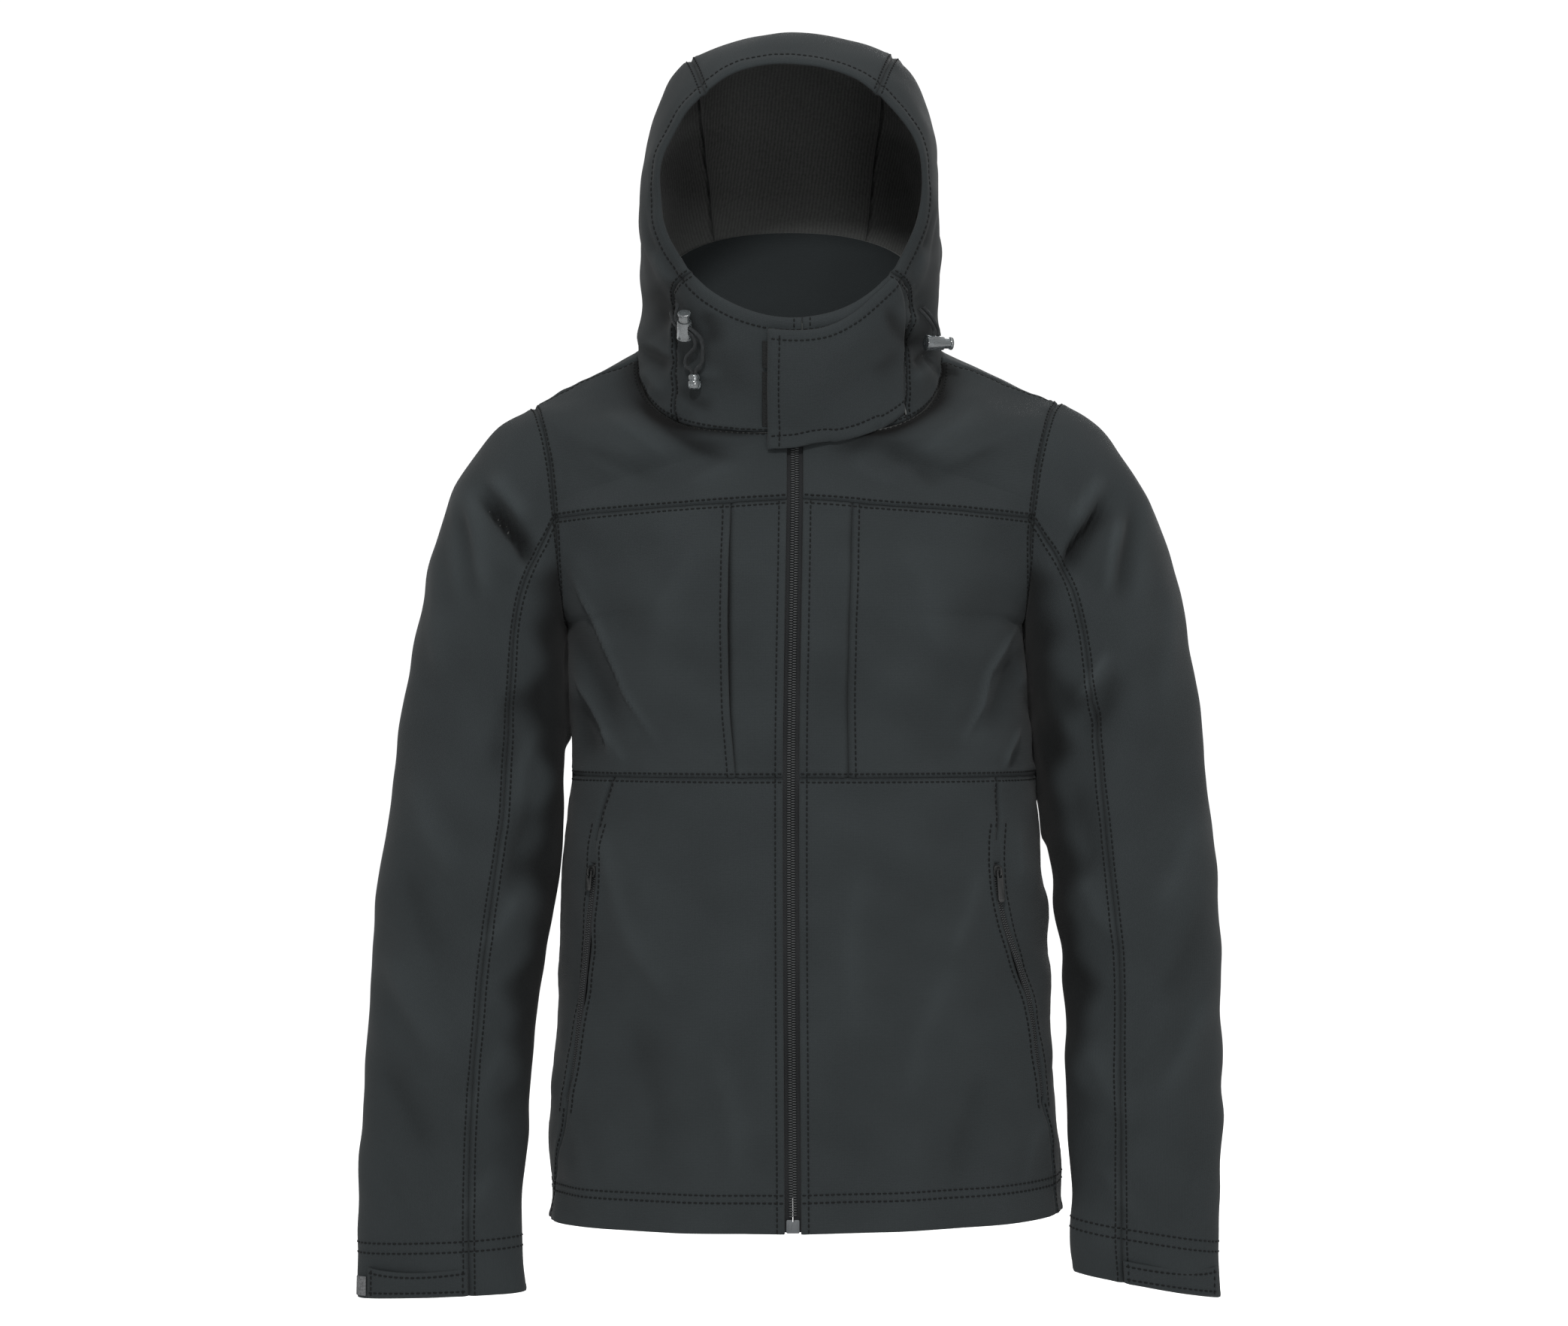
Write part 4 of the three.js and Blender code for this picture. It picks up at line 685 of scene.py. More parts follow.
def fleece(name, colour):
    """Brushed knit bonded to the back of the shell: soft, matt and slightly pilled at 2 to 3 mm.
    Painted shade makes it darker towards the crown of the hood, where the real one lies in its own shade."""
    made, tree, shader = finish(name, Roughness=0.95, Sheen_Weight=0.06, Sheen_Roughness=0.6,
                                Specular_IOR_Level=0.1)
    uv = add(tree, "TexCoord").outputs["UV"]
    pile = add(tree, "TexNoise", [("Vector", uv), ("Scale", 380), ("Detail", 4), ("Roughness", 0.7)])
    rows = add(tree, "TexWave", [("Vector", uv), ("Scale", bands(3)), ("Distortion", 2.5), ("Detail", 2)])
    # Painted shade and painted highlights, read from the cut pieces' shade attribute
    edge = add(tree, "Attribute", attribute_name="shade")
    place = add(tree, "SeparateXYZ", [(0, add(tree, "TexCoord").outputs["Object"])])
    # Painted shade that deepens from 60 mm to 140 mm up, towards the crown
    upper = add(tree, "MapRange", [("Value", place.outputs["Z"]), ("From Min", 0.06), ("From Max", 0.14)])
    tone(tree, shader, colour, [
        (edge.outputs["Fac"], 1, 0), (pile.outputs["Fac"], 0.5, 0.5),
        (rows.outputs["Fac"], 0.16, 0.5), (upper.outputs[0], -0.55, 0),
    ])
    bump = add(tree, "Bump", [("Strength", 0.5), ("Distance", 0.0009), ("Height", pile.outputs["Fac"])])
    tree.links.new(bump.outputs[0], shader.inputs["Normal"])
    return made


def thread(name, colour):
    """Bonded polyester sewing thread, dyed to match: matt, a little darker than the cloth."""
    made, tree, shader = finish(name, Roughness=0.85, Specular_IOR_Level=0.12)
    place = add(tree, "TexCoord").outputs["Object"]
    spot = add(tree, "TexNoise", [("Vector", place), ("Scale", 900), ("Detail", 2)])
    tone(tree, shader, colour, [(spot.outputs["Fac"], 0.5, 0.5)])
    return made


def moulded(name, colour, rough):
    """Moulded acetal: smooth with a faint spark-eroded grain and slightly uneven gloss."""
    made, tree, shader = finish(name, Roughness=rough, Specular_IOR_Level=0.35)
    place = add(tree, "TexCoord").outputs["Object"]
    skin = add(tree, "TexNoise", [("Vector", place), ("Scale", 1800), ("Detail", 2)])
    worn = add(tree, "TexNoise", [("Vector", place), ("Scale", 160), ("Detail", 3)])
    tone(tree, shader, colour, [(worn.outputs["Fac"], 0.25, 0.5)])
    gloss = add(tree, "MapRange", [
        ("Value", worn.outputs["Fac"]), ("To Min", rough - 0.06), ("To Max", rough + 0.1),
    ])
    tree.links.new(gloss.outputs[0], shader.inputs["Roughness"])
    bump = add(tree, "Bump", [("Strength", 0.15), ("Distance", 0.0002), ("Height", skin.outputs["Fac"])])
    tree.links.new(bump.outputs[0], shader.inputs["Normal"])
    return made


def clear_plastic(name):
    """Moulded polycarbonate, almost clear: smooth and glassy, with a faint grey cast."""
    made, tree, shader = finish(name, Roughness=0.12, IOR=1.58, Transmission_Weight=0.86)
    place = add(tree, "TexCoord").outputs["Object"]
    worn = add(tree, "TexNoise", [("Vector", place), ("Scale", 220), ("Detail", 3)])
    tone(tree, shader, "#7c8284", [(worn.outputs["Fac"], 0.1, 0.5)])
    gloss = add(tree, "MapRange", [("Value", worn.outputs["Fac"]), ("To Min", 0.06), ("To Max", 0.2)])
    tree.links.new(gloss.outputs[0], shader.inputs["Roughness"])
    return made


def hook_tape(name, colour):
    """Hook-and-loop tape: rows of tiny nylon hooks about 1.5 mm apart, matt and a little rough."""
    made, tree, shader = finish(name, Roughness=0.88, Specular_IOR_Level=0.12)
    uv = add(tree, "TexCoord").outputs["UV"]
    hooks = add(tree, "TexVoronoi", [("Vector", uv), ("Scale", 1 / (1.5 * MM))])
    spot = add(tree, "TexNoise", [("Vector", uv), ("Scale", 300), ("Detail", 3)])
    tone(tree, shader, colour, [(hooks.outputs["Distance"], -0.7, 0.4), (spot.outputs["Fac"], 0.3, 0.5)])
    bump = add(tree, "Bump", [
        ("Strength", 0.9), ("Distance", 0.0006), ("Height", hooks.outputs["Distance"]),
    ], invert=True)
    tree.links.new(bump.outputs[0], shader.inputs["Normal"])
    return made


def zip_tape(name, colour):
    """Woven polyester zip tape: a flat herringbone with ribs about 1 mm apart."""
    made, tree, shader = finish(name, Roughness=0.9, Sheen_Weight=0.03, Specular_IOR_Level=0.15)
    uv = add(tree, "TexCoord").outputs["UV"]
    ribs = add(tree, "TexWave", [("Vector", uv), ("Scale", bands(1.1))], bands_direction="DIAGONAL")
    spot = add(tree, "TexNoise", [("Vector", uv), ("Scale", 500), ("Detail", 3)])
    tone(tree, shader, colour, [(ribs.outputs["Fac"], 0.25, 0.5), (spot.outputs["Fac"], 0.25, 0.5)])
    bump = add(tree, "Bump", [("Strength", 0.4), ("Distance", 0.0003), ("Height", ribs.outputs["Fac"])])
    tree.links.new(bump.outputs[0], shader.inputs["Normal"])
    return made


def braid(name, colour):
    """Braided round polyester cord: strands cross every 2 mm along it, with a soft sheen."""
    made, tree, shader = finish(name, Roughness=0.85, Sheen_Weight=0.02, Specular_IOR_Level=0.15)
    place = add(tree, "TexCoord").outputs["Object"]
    left = add(tree, "TexWave", [("Vector", place), ("Scale", bands(2)), ("Distortion", 1)],
               bands_direction="DIAGONAL")
    turned = add(tree, "Mapping", [("Vector", place), ("Scale", (-1, 1, 1))])
    right = add(tree, "TexWave", [("Vector", turned.outputs[0]), ("Scale", bands(2)), ("Distortion", 1)],
                bands_direction="DIAGONAL")
    cross = add(tree, "Math", [(0, left.outputs["Fac"]), (1, right.outputs["Fac"])], operation="MULTIPLY")
    tone(tree, shader, colour, [(cross.outputs[0], 0.5, 0.25)])
    bump = add(tree, "Bump", [("Strength", 0.6), ("Distance", 0.0005), ("Height", cross.outputs[0])])
    tree.links.new(bump.outputs[0], shader.inputs["Normal"])
    return made


SHELL = softshell("charcoal woven softshell", "#191c1d")
LINING = fleece("charcoal bonded fleece", "#424342")
CLOTH = [SHELL, LINING]
THREAD = thread("charcoal bonded sewing thread", "#040505")
TAPE = zip_tape("charcoal woven zip tape", "#0e0f10")
COIL = moulded("charcoal moulded zip coil", "#151718", 0.62)
BLACK = moulded("black moulded acetal", "#0b0c0c", 0.35)
GREY = moulded("grey moulded acetal", "#303335", 0.5)
STEEL = moulded("bright drawn spring steel", "#9a9c9e", 0.25)
CLEAR = clear_plastic("clear moulded polycarbonate")
HOOKS = hook_tape("grey hook tape", "#48494a")
LOOPS = hook_tape("charcoal loop tape", "#0d0e0e")
BRAID = braid("black braided cord", "#151718")


# Camera, light and floor

# Distance of the camera and width of the picture at the jacket, in metres
CAMERA_AWAY = 3.2
PICTURE_WIDTH = 1.2516
SENSOR = 36


def set_camera():
    """Level camera in front, aimed at the middle of the picture."""
    data = bpy.data.cameras.new("camera")
    data.sensor_width = SENSOR
    data.lens = SENSOR * CAMERA_AWAY / PICTURE_WIDTH
    made = put("camera", data)
    made.location = (-0.0054, -CAMERA_AWAY, -0.2472)
    made.rotation_euler = (math.pi / 2, 0, 0)
    bpy.context.scene.camera = made


def set_light(name, place, aim, size, power):
    """A round soft light turned to its aim: metres and watts."""
    data = bpy.data.lights.new(name, "AREA")
    data.shape = "DISK"
    data.size = size
    data.energy = power
    made = put(name, data)
    made.location = place
    made.rotation_euler = (Vector(aim) - Vector(place)).to_track_quat("-Z", "Y").to_euler()


def set_studio():
    """Pale room, four soft lights and a pale floor."""
    world = bpy.data.worlds.new("studio")
    world.use_nodes = True
    background = world.node_tree.nodes["Background"]
    background.inputs["Color"].default_value = (1, 1, 1, 1)
    background.inputs["Strength"].default_value = 1.06
    bpy.context.scene.world = world
    bpy.context.scene.view_settings.view_transform = "Standard"
    set_light("key", (-0.3, -2.9, 1.9), (0, 0, -0.2), 0.45, 130)
    set_light("fill", (0.7, -3.0, 0.1), (0, 0, 0), 1.1, 34)
    set_light("top", (0.3, -0.6, 2.5), (0, 0, 0), 0.8, 34)
    set_light("back", (0.8, 3.0, 1.3), (0, 0, -0.2), 1.0, 30)
    bpy.ops.object.select_all(action="DESELECT")
    bpy.ops.mesh.primitive_circle_add(vertices=96, radius=14, fill_type="NGON", location=(0, 0, -1.0))
    floor = bpy.context.object
    floor.name = "floor"
    made, tree, shader = finish("pale matt painted floor", Roughness=0.9)
    place = add(tree, "TexCoord").outputs["Object"]
    spot = add(tree, "TexNoise", [("Vector", place), ("Scale", 3), ("Detail", 2)])
    tone(tree, shader, "#fafafa", [(spot.outputs["Fac"], 0.02, 0.5)])
    floor.data.materials.append(made)


# Cords

def route(points, count):
    """Evenly spaced points along a smooth curve through the given points, in mm."""
    p = np.array(points, dtype=float)
    p = np.vstack([2 * p[0] - p[1], p, 2 * p[-1] - p[-2]])
    out = []
    s = np.linspace(0, 1, 40, endpoint=False)[:, None]
    for a, b, c, d in zip(p[:-3], p[1:-2], p[2:-1], p[3:]):
        t0, t1, t2 = (np.linalg.norm(q - r) ** 0.5 for q, r in ((a, b), (b, c), (c, d)))
        m1 = ((b - a) / t0 - (c - a) / (t0 + t1) + (c - b) / t1) * t1
        m2 = ((c - b) / t1 - (d - b) / (t1 + t2) + (d - c) / t2) * t1
        square = (3 * (c - b) - 2 * m1 - m2) * s ** 2
        cube = (2 * (b - c) + m1 + m2) * s ** 3
        out.append(b + m1 * s + square + cube)
    out.append(p[-2][None])
    line = np.vstack(out)
    far = lengths(line)
    return pick(np.linspace(0, far[-1], count), far, line), far[-1]


def on_hood(x, z, lift):
    """A point in front of the hood at a given x and z, lifted off it in mm, and the out direction there."""
    deg = math.degrees(math.asin(max(-0.98, min(0.98, x / 117))))
    d, t = find_on(HOOD_SKIN, x, z, deg, 0.3)
    n = HOOD_SKIN.normal(d, t)
    return HOOD_SKIN.at(d, t) + n * lift, n


def round_wire(name, places, radius, resolution, material):
    """A round wire through the given places in metres, its radius in mm."""
    data = bpy.data.curves.new(name, "CURVE")
    data.dimensions = "3D"
    data.bevel_depth = radius * MM
    data.bevel_resolution = resolution
    data.use_fill_caps = True
    spline = data.splines.new("POLY")
    spline.points.add(len(places) - 1)
    for point, place in zip(spline.points, places):
        point.co = (*place, 1)
    data.materials.append(material)
    return put(name, data)


def hang_cord(name, points):
    """A braided strand from its eyelet in the hood's hem to the fitting that holds its end."""
    line, length = route(points, 30)
    made = round_wire(name + "_strand", line * MM, CORD_D / 2, 5, BRAID)
    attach(made, "jacket")
    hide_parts(name)


# Half the distance between the two strands inside a lock or a bead
STRAND_OFFSET = 1.85


def right_cords():
    """Both strands on the wearer's right, down through the lock into the end bead."""
    centre, out = on_hood(-76.6, 15.4, 8.2)
    tilt = np.array([0.48, 0, 0.876])
    along = unit(tilt - out * (tilt @ out))
    bore = unit(np.cross(along, out))
    bore = bore * (-1 if bore[2] > 0 else 1)
    bead, bead_out = on_hood(-71.5, -28, 6.2)
    down = unit(np.array([0, 0, -1]) + bead_out * bead_out[2])
    across = unit(np.cross(down, bead_out))
    across = across * (-1 if across[0] < 0 else 1)
    strands = [
        ("right_cord_outer", -1, (-92, 26), [(-70.5, 0.5), (-77.5, -8), (-78.5, -15)]),
        ("right_cord_inner", 1, (-86, 32), [(-66.5, 6), (-65, -4), (-66, -13)]),
    ]
    for name, k, start, bend in strands:
        lock = [centre + along * k * STRAND_OFFSET + bore * d for d in (-10, -7, 0, 7)]
        ahead = lock[0] + (on_hood(*start, 4)[0] - lock[0]) * 0.25
        points = [on_hood(*start, 1.8)[0], ahead] + lock[1:]
        points += [on_hood(x, z, 5.6 - m * 0.2)[0] for m, (x, z) in enumerate(bend)]
        points += [bead + across * k * STRAND_OFFSET + down * d for d in (-8.5, -5.5, -1.2)]
        hang_cord(name, points)
    return centre, along, bore, bead, across, down


def left_cords():
    """Both strands on the wearer's left, which end inside their lock."""
    centre = on_hood(104, 5, 11.4)[0]
    along = unit(np.array([0.93, 0.367, 0]))
    bore = np.array([0, 0, -1.0])
    for name, k, start in [("left_cord_inner", -1, (98.5, 30)), ("left_cord_outer", 1, (102, 32))]:
        lock = [centre + along * k * STRAND_OFFSET + bore * d for d in (-14, -10.5, -7, 0, 5)]
        rise = on_hood(start[0], start[1] - 3, 6)[0]
        rise = rise + (lock[0] - rise) * 0.35
        hang_cord(name, [on_hood(*start, 1.8)[0], rise] + lock[1:])
    return centre, along, bore


# Sewing

# Rows of stitches by group: points, four-sided faces, three-sided faces and the number of points
STITCHES = {}
STITCH_POINTS = 14


def sew(group, line, normals, stitch=3.4, gap=1.0, thick=0.8):
    """Adds one row of stitches along a line in mm: each is a small spindle half sunk in the cloth."""
    far = lengths(line)
    count = int(far[-1] / (stitch + gap))
    if count < 1:
        return
    starts = (np.arange(count) + 0.5) * far[-1] / count
    a, b = pick(starts - stitch / 2, far, line), pick(starts + stitch / 2, far, line)
    up = unit(pick(starts, far, normals))
    along = unit(b - a)
    side = unit(np.cross(along, up))
    middle = (a + b) / 2 + up * 0.12
    rings = []
    for share, size in ((-0.72, 0.8), (0, 1.0), (0.72, 0.8)):
        centre = middle + along * (share * stitch / 2)
        for k in range(4):
            angle = math.pi / 2 * k + math.pi / 4
            rings.append(centre + (side * math.cos(angle) + up * math.sin(angle)) * thick * size)
    tips = [a - up * 0.3, b - up * 0.3]
    points = np.stack(rings + tips, axis=1).reshape(-1, 3)
    faces = []
    for ring in (0, 4):
        faces += [(ring + k, ring + (k + 1) % 4, ring + 4 + (k + 1) % 4, ring + 4 + k) for k in range(4)]
    ends = [(12, (k + 1) % 4, k) for k in range(4)] + [(13, 8 + k, 8 + (k + 1) % 4) for k in range(4)]
    held = STITCHES.setdefault(group, [[], [], [], 0])
    base = held[3] + np.arange(count)[:, None, None] * STITCH_POINTS
    held[0].append(points)
    held[1].append((np.array(faces)[None] + base).reshape(-1, 4))
    held[2].append((np.array(ends)[None] + base).reshape(-1, 3))
    held[3] += count * STITCH_POINTS


def make_stitches():
    """One piece for each group of seams, from all the rows sewn so far."""
    for group, (points, quads, ends, _) in STITCHES.items():
        mesh = bpy.data.meshes.new(group)
        faces = np.concatenate(quads).tolist() + np.concatenate(ends).tolist()
        mesh.from_pydata((np.concatenate(points) * MM).tolist(), [], faces)
        mesh.materials.append(THREAD)
        mesh.polygons.foreach_set("use_smooth", np.ones(len(mesh.polygons), dtype=bool))
        made = put(group, mesh)
        fix_outside(made)
        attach(made, "jacket")


def fix_outside(made):
    """Turns every face of a closed mesh outwards."""
    work = bmesh.new()
    work.from_mesh(made.data)
    bmesh.ops.recalc_face_normals(work, faces=work.faces)
    work.to_mesh(made.data)
    work.free()


def edge_line(panel, edge, inset, start=0.0, end=1.0):
    """Points and normals on a panel at a distance in mm from one of its edges."""
    far = panel.far[edge]
    data = np.concatenate([panel.outer_grid, panel.normals], axis=-1)
    if edge[0] == "u":
        lines = [(far[:, j], data[:, j]) for j in range(far.shape[1])]
    else:
        lines = [(far[i], data[i]) for i in range(far.shape[0])]
    low, high = int(start * (len(lines) - 1)), int(math.ceil(end * (len(lines) - 1)))
    out = []
    for d, values in lines[low:high + 1]:
        if d[-1] < d[0]:
            d, values = d[::-1], values[::-1]
        if d[-1] > inset:
            out.append([np.interp(inset, d, values[:, k]) for k in range(6)])
    out = np.array(out)
    return out[:, :3], out[:, 3:]


def topstitch(group, name, edge, insets, start=0.0, end=1.0):
    """Sews rows at distances in mm from one edge of a panel, along a share of that edge."""
    panel = PANELS[name]
    for inset in insets:
        line, normals = edge_line(panel, edge, inset, start, end)
        sew(group, line, normals)


# Cut pieces

# Creases seen from the front: height, half width, points (x, z)
FRONT_CREASES = [
    # Chest, from the armpits down and in
    [2.7, 2.3, (-177, -168), (-152, -216), (-137, -252), (-130, -270), (-95, -322)],
    [-3.0, 8, (-180, -205), (-163, -240), (-146, -272), (-128, -306)],
    [2.7, 2.2, (-171, -252), (-159, -276), (-146, -301), (-140, -326)],
    [-2.4, 7, (-178, -270), (-166, -296), (-158, -328)],
    [1.2, 3.2, (-150, -296), (-138, -312), (-128, -328)],
    [-1.2, 6, (-170, -275), (-160, -300), (-152, -326)],
    [2.7, 2.3, (182, -212), (169, -228), (155, -253), (148, -280), (136, -302), (131, -320)],
    [-3.0, 7.5, (186, -232), (172, -250), (162, -276), (150, -306)],
    [2.4, 2.2, (182, -297), (169, -318), (165, -334)],
    [-2.2, 8, (66, -78), (96, -92), (118, -112)],
    [1.4, 3.0, (178, -243), (181, -256), (180, -270)],
    [-1.0, 5, (178, -312), (172, -330)],
    [0.9, 9, (-70, -150), (-100, -205), (-112, -260)],
    [0.8, 9, (78, -145), (104, -190), (118, -250)],
    # Yoke, from the neck out to the shoulder
    [1.5, 7, (-150, -48), (-115, -72), (-84, -96)],
    [-1.2, 6, (-165, -78), (-128, -96), (-98, -106)],
    [1.5, 7, (152, -46), (120, -70), (88, -94)],
    [-1.2, 6, (168, -76), (134, -94), (104, -106)],
    [1.0, 5, (-44, -88), (-60, -100), (-82, -108)],
    [1.0, 5, (46, -86), (62, -100), (86, -108)],
    # Lower fronts
    [1.6, 5, (-150, -372), (-142, -410), (-130, -446)],
    [1.3, 6, (-146, -420), (-120, -470), (-86, -520)],
    [-1.1, 9, (-128, -520), (-104, -590), (-96, -650)],
    [1.2, 8, (-60, -540), (-44, -600), (-40, -660)],
    [1.6, 4, (176, -372), (178, -396), (177, -424)],
    [1.3, 5, (148, -402), (138, -440), (120, -480)],
    [1.2, 8, (128, -470), (98, -540), (88, -600)],
    [-1.1, 9, (150, -560), (132, -620), (126, -668)],
    [1.0, 8, (54, -400), (44, -470), (50, -540)],
    [0.9, 4, (-172, -600), (-166, -630), (-160, -660)],
    [0.9, 4, (196, -600), (188, -632), (184, -664)],
    # Wearer's right sleeve
    [-6.5, 4.6, (-246, -114), (-225, -138), (-212, -154), (-203, -176)],
    [3.6, 6, (-238, -98), (-218, -122), (-205, -140)],
    [3.0, 6, (-254, -106), (-246, -150), (-238, -206)],
    [-2.4, 7, (-262, -120), (-256, -160), (-250, -206)],
    [2.4, 8, (-266, -96), (-262, -150), (-256, -214)],
    [1.6, 8, (-284, -150), (-280, -210), (-276, -270)],
    [-2.0, 9, (-214, -262), (-226, -300), (-232, -342)],
    [2.2, 6, (-198, -290), (-212, -330), (-216, -372)],
    [-2.6, 8, (-200, -352), (-214, -392), (-222, -434)],
    [2.0, 7, (-210, -420), (-226, -450), (-246, -476)],
    [1.6, 9, (-300, -330), (-284, -378), (-262, -420)],
    [-1.6, 10, (-306, -400), (-290, -450), (-268, -496)],
    [1.8, 8, (-318, -470), (-298, -520), (-270, -566)],
    [1.5, 8, (-222, -540), (-240, -580), (-262, -610)],
    [-1.5, 9, (-322, -560), (-300, -600), (-280, -640)],
    [1.2, 6, (-232, -640), (-248, -668), (-270, -690)],
    # Wearer's left sleeve
    [-6.2, 4.8, (250, -118), (234, -140), (221, -158), (210, -182)],
    [3.6, 6, (246, -98), (228, -122), (214, -142)],
    [3.4, 5, (258, -128), (250, -160), (246, -200)],
    [-2.4, 7, (270, -120), (264, -160), (256, -206)],
    [2.4, 8, (282, -96), (276, -152), (268, -214)],
    [3.0, 5, (250, -236), (236, -258), (222, -280)],
    [-2.6, 8, (258, -250), (244, -282), (226, -306)],
    [2.2, 6, (206, -250), (212, -285), (224, -318)],
    [1.6, 8, (300, -180), (298, -236), (292, -290)],
    [-2.2, 9, (216, -340), (232, -380), (242, -424)],
    [1.8, 7, (222, -410), (240, -446), (262, -470)],
    [1.8, 9, (322, -360), (304, -410), (280, -450)],
    [-1.6, 10, (330, -430), (308, -480), (284, -522)],
    [1.8, 8, (332, -500), (312, -552), (286, -592)],
    [1.5, 8, (232, -540), (250, -586), (272, -616)],
    [1.2, 6, (240, -636), (256, -664), (280, -690)],
]
# Creases on the back, of the same kinds
BACK_CREASES = [
    [2.4, 8, (-176, -170), (-140, -214), (-100, -246)],
    [-1.8, 8, (-178, -200), (-146, -246), (-110, -282)],
    [2.0, 7, (-176, -262), (-140, -292), (-104, -312)],
    [2.4, 8, (180, -168), (144, -210), (104, -244)],
    [-1.8, 8, (184, -202), (150, -244), (114, -284)],
    [2.0, 7, (184, -258), (146, -290), (110, -314)],
    [1.6, 12, (-96, -130), (-70, -180), (-60, -240)],
    [1.6, 12, (92, -128), (72, -184), (58, -236)],
    [-1.6, 12, (-40, -300), (0, -318), (44, -304)],
    [1.8, 9, (-130, -352), (-60, -372), (10, -362)],
    [1.6, 9, (140, -346), (84, -366), (30, -352)],
    [1.4, 12, (-120, -460), (-96, -540), (-104, -620)],
    [-1.3, 12, (-50, -470), (-40, -560), (-52, -650)],
    [1.4, 12, (118, -450), (100, -530), (112, -610)],
    [-1.3, 12, (46, -480), (56, -560), (44, -640)],
    [1.6, 9, (-150, -30), (-110, -60), (-70, -84)],
    [1.6, 9, (152, -28), (112, -58), (72, -84)],
    [-3.4, 9, (-228, -96), (-214, -140), (-204, -184)],
    [3.0, 8, (-250, -90), (-238, -146), (-226, -206)],
    [2.4, 9, (-274, -110), (-266, -176), (-254, -240)],
    [2.6, 7, (-196, -330), (-230, -352), (-268, -356)],
    [-2.4, 8, (-204, -372), (-240, -390), (-286, -388)],
    [2.4, 7, (-210, -420), (-246, -432), (-290, -420)],
    [1.6, 9, (-312, -480), (-286, -540), (-250, -586)],
    [1.4, 9, (-322, -600), (-292, -640), (-256, -664)],
    [-3.4, 9, (242, -96), (228, -142), (214, -188)],
    [3.0, 8, (266, -90), (252, -148), (238, -208)],
    [2.4, 9, (292, -112), (280, -180), (266, -244)],
    [2.6, 7, (216, -330), (248, -350), (288, -354)],
    [-2.4, 8, (222, -372), (258, -388), (304, -386)],
    [2.4, 7, (228, -420), (264, -432), (308, -418)],
    [1.6, 9, (326, -484), (300, -542), (262, -588)],
    [1.4, 9, (330, -602), (300, -640), (264, -662)],
]


def spaced(line, start, end, step):
    """Shares along a line so that its points are a step apart in mm, closer near both ends."""
    t = np.linspace(start, end, 400)
    far = lengths(line(t))
    return np.interp(shares(far[-1], step) * far[-1], far, t)


def drape(panel, amount=1.0):
    """Adds the slow waves of worn cloth and the creases seen from the front and the back, with painted
    highlights on their rises and painted shade in their hollows.
    """
    x, z = panel.base[..., 0], panel.base[..., 2]
    facing = panel.normals[..., 1]
    slow = amount * swells(panel.base, WAVES)
    sharp = 1.45 * creases(x, z, FRONT_CREASES) * ease(-facing * 2.2)
    sharp += 1.3 * creases(x, z, BACK_CREASES) * ease(facing * 2.2)
    panel.push += slow + sharp
    # Painted light and shade: lighter on ridges and swells, darker in troughs
    panel.shade += 0.025 * slow + 0.095 * sharp


def on_skin(name, skin, u, v, wall=WALL):
    """A panel cut from a skin by its shares."""
    return Panel(name, skin.at(u, v), skin.normal(u, v), wall)


def mitre(panel, side, row_shares, edge):
    """Turns the out direction along the armhole edge to the one that the sleeve shares."""
    s = np.where(row_shares < 3, YOKE_S * (row_shares - 2), mix(YOKE_S, 0.5, row_shares - 3))
    goal = armhole_normal(side, s, False)
    weight = (bell(panel.far[edge], 6) * (row_shares >= 2))[..., None]
    panel.normals = unit(mix(panel.normals, goal[None], weight))


def shut_armpit(push, far, s):
    """Near the armpit the body and the sleeve face each other, so both edges swell until they touch."""
    turn = np.minimum(s % 1, 1 - s % 1)
    low = 1 - ease((turn - 0.17) / 0.06)
    return push * (1 - low * bell(far, 5)) + 0.55 * low * bell(far, 3.5)


def pocket_zone(z):
    """1 along the open zip of a lower pocket, 0 above and below it."""
    return ease((z + 594) / 7) * ease((-402 - z) / 7)


def pocket_lip(panel, edge):
    """Along the zip the cloth edge stands up as a lip beside the coil; elsewhere it is a plain seam. Both
    get painted shade in their groove.
    """
    d = panel.far[edge]
    open_part = pocket_zone(panel.base[..., 2])
    panel.push += (1 - open_part) * (seam_roll(d) - 0.35 * bell(d, 3.2))
    panel.push += open_part * (-0.6 * bell(d, 2.2) + 1.9 * bell(d - 4.4, 1.7) + 0.7 * bell(d - 8, 3.5))
    panel.push += 0.35 * swells(panel.base, RIPPLES) * bell(d - 3, 7)
    # Painted shade in the seam, deeper in the gap along the open zip
    panel.shade -= 0.3 * bell(d, 1.5) + 0.35 * open_part * bell(d, 2.4)


# Rows of the fronts up to the waist, of the chest, and of the yoke up to the neck
LOW_ROWS = spaced(lambda v: FRONT[1].at(0.4, v), 0, 1, CLOTH_STEP)
CHEST_V = spaced(lambda v: FRONT[1].at(0.4, v), 1, 3, 2.6)
NECK_V = np.concatenate([
    mix(3, NECK_FRONT_ROW, shares(51, 4.0)), mix(NECK_FRONT_ROW, 4, shares(175, CLOTH_STEP))[1:],
])
# Painted shadows on the yoke under the hood's and the flap's lower edge, which catch no light: (x, z)
NECK_SHADOWS = [
    [-6.5, 7, (-127, -35), (-109, -54), (-89, -69), (-74, -79), (-52, -88), (-36, -93)],
    [-6.0, 6, (119, -17), (116, -39), (94, -54), (73, -66), (49, -76), (19, -84)],
]


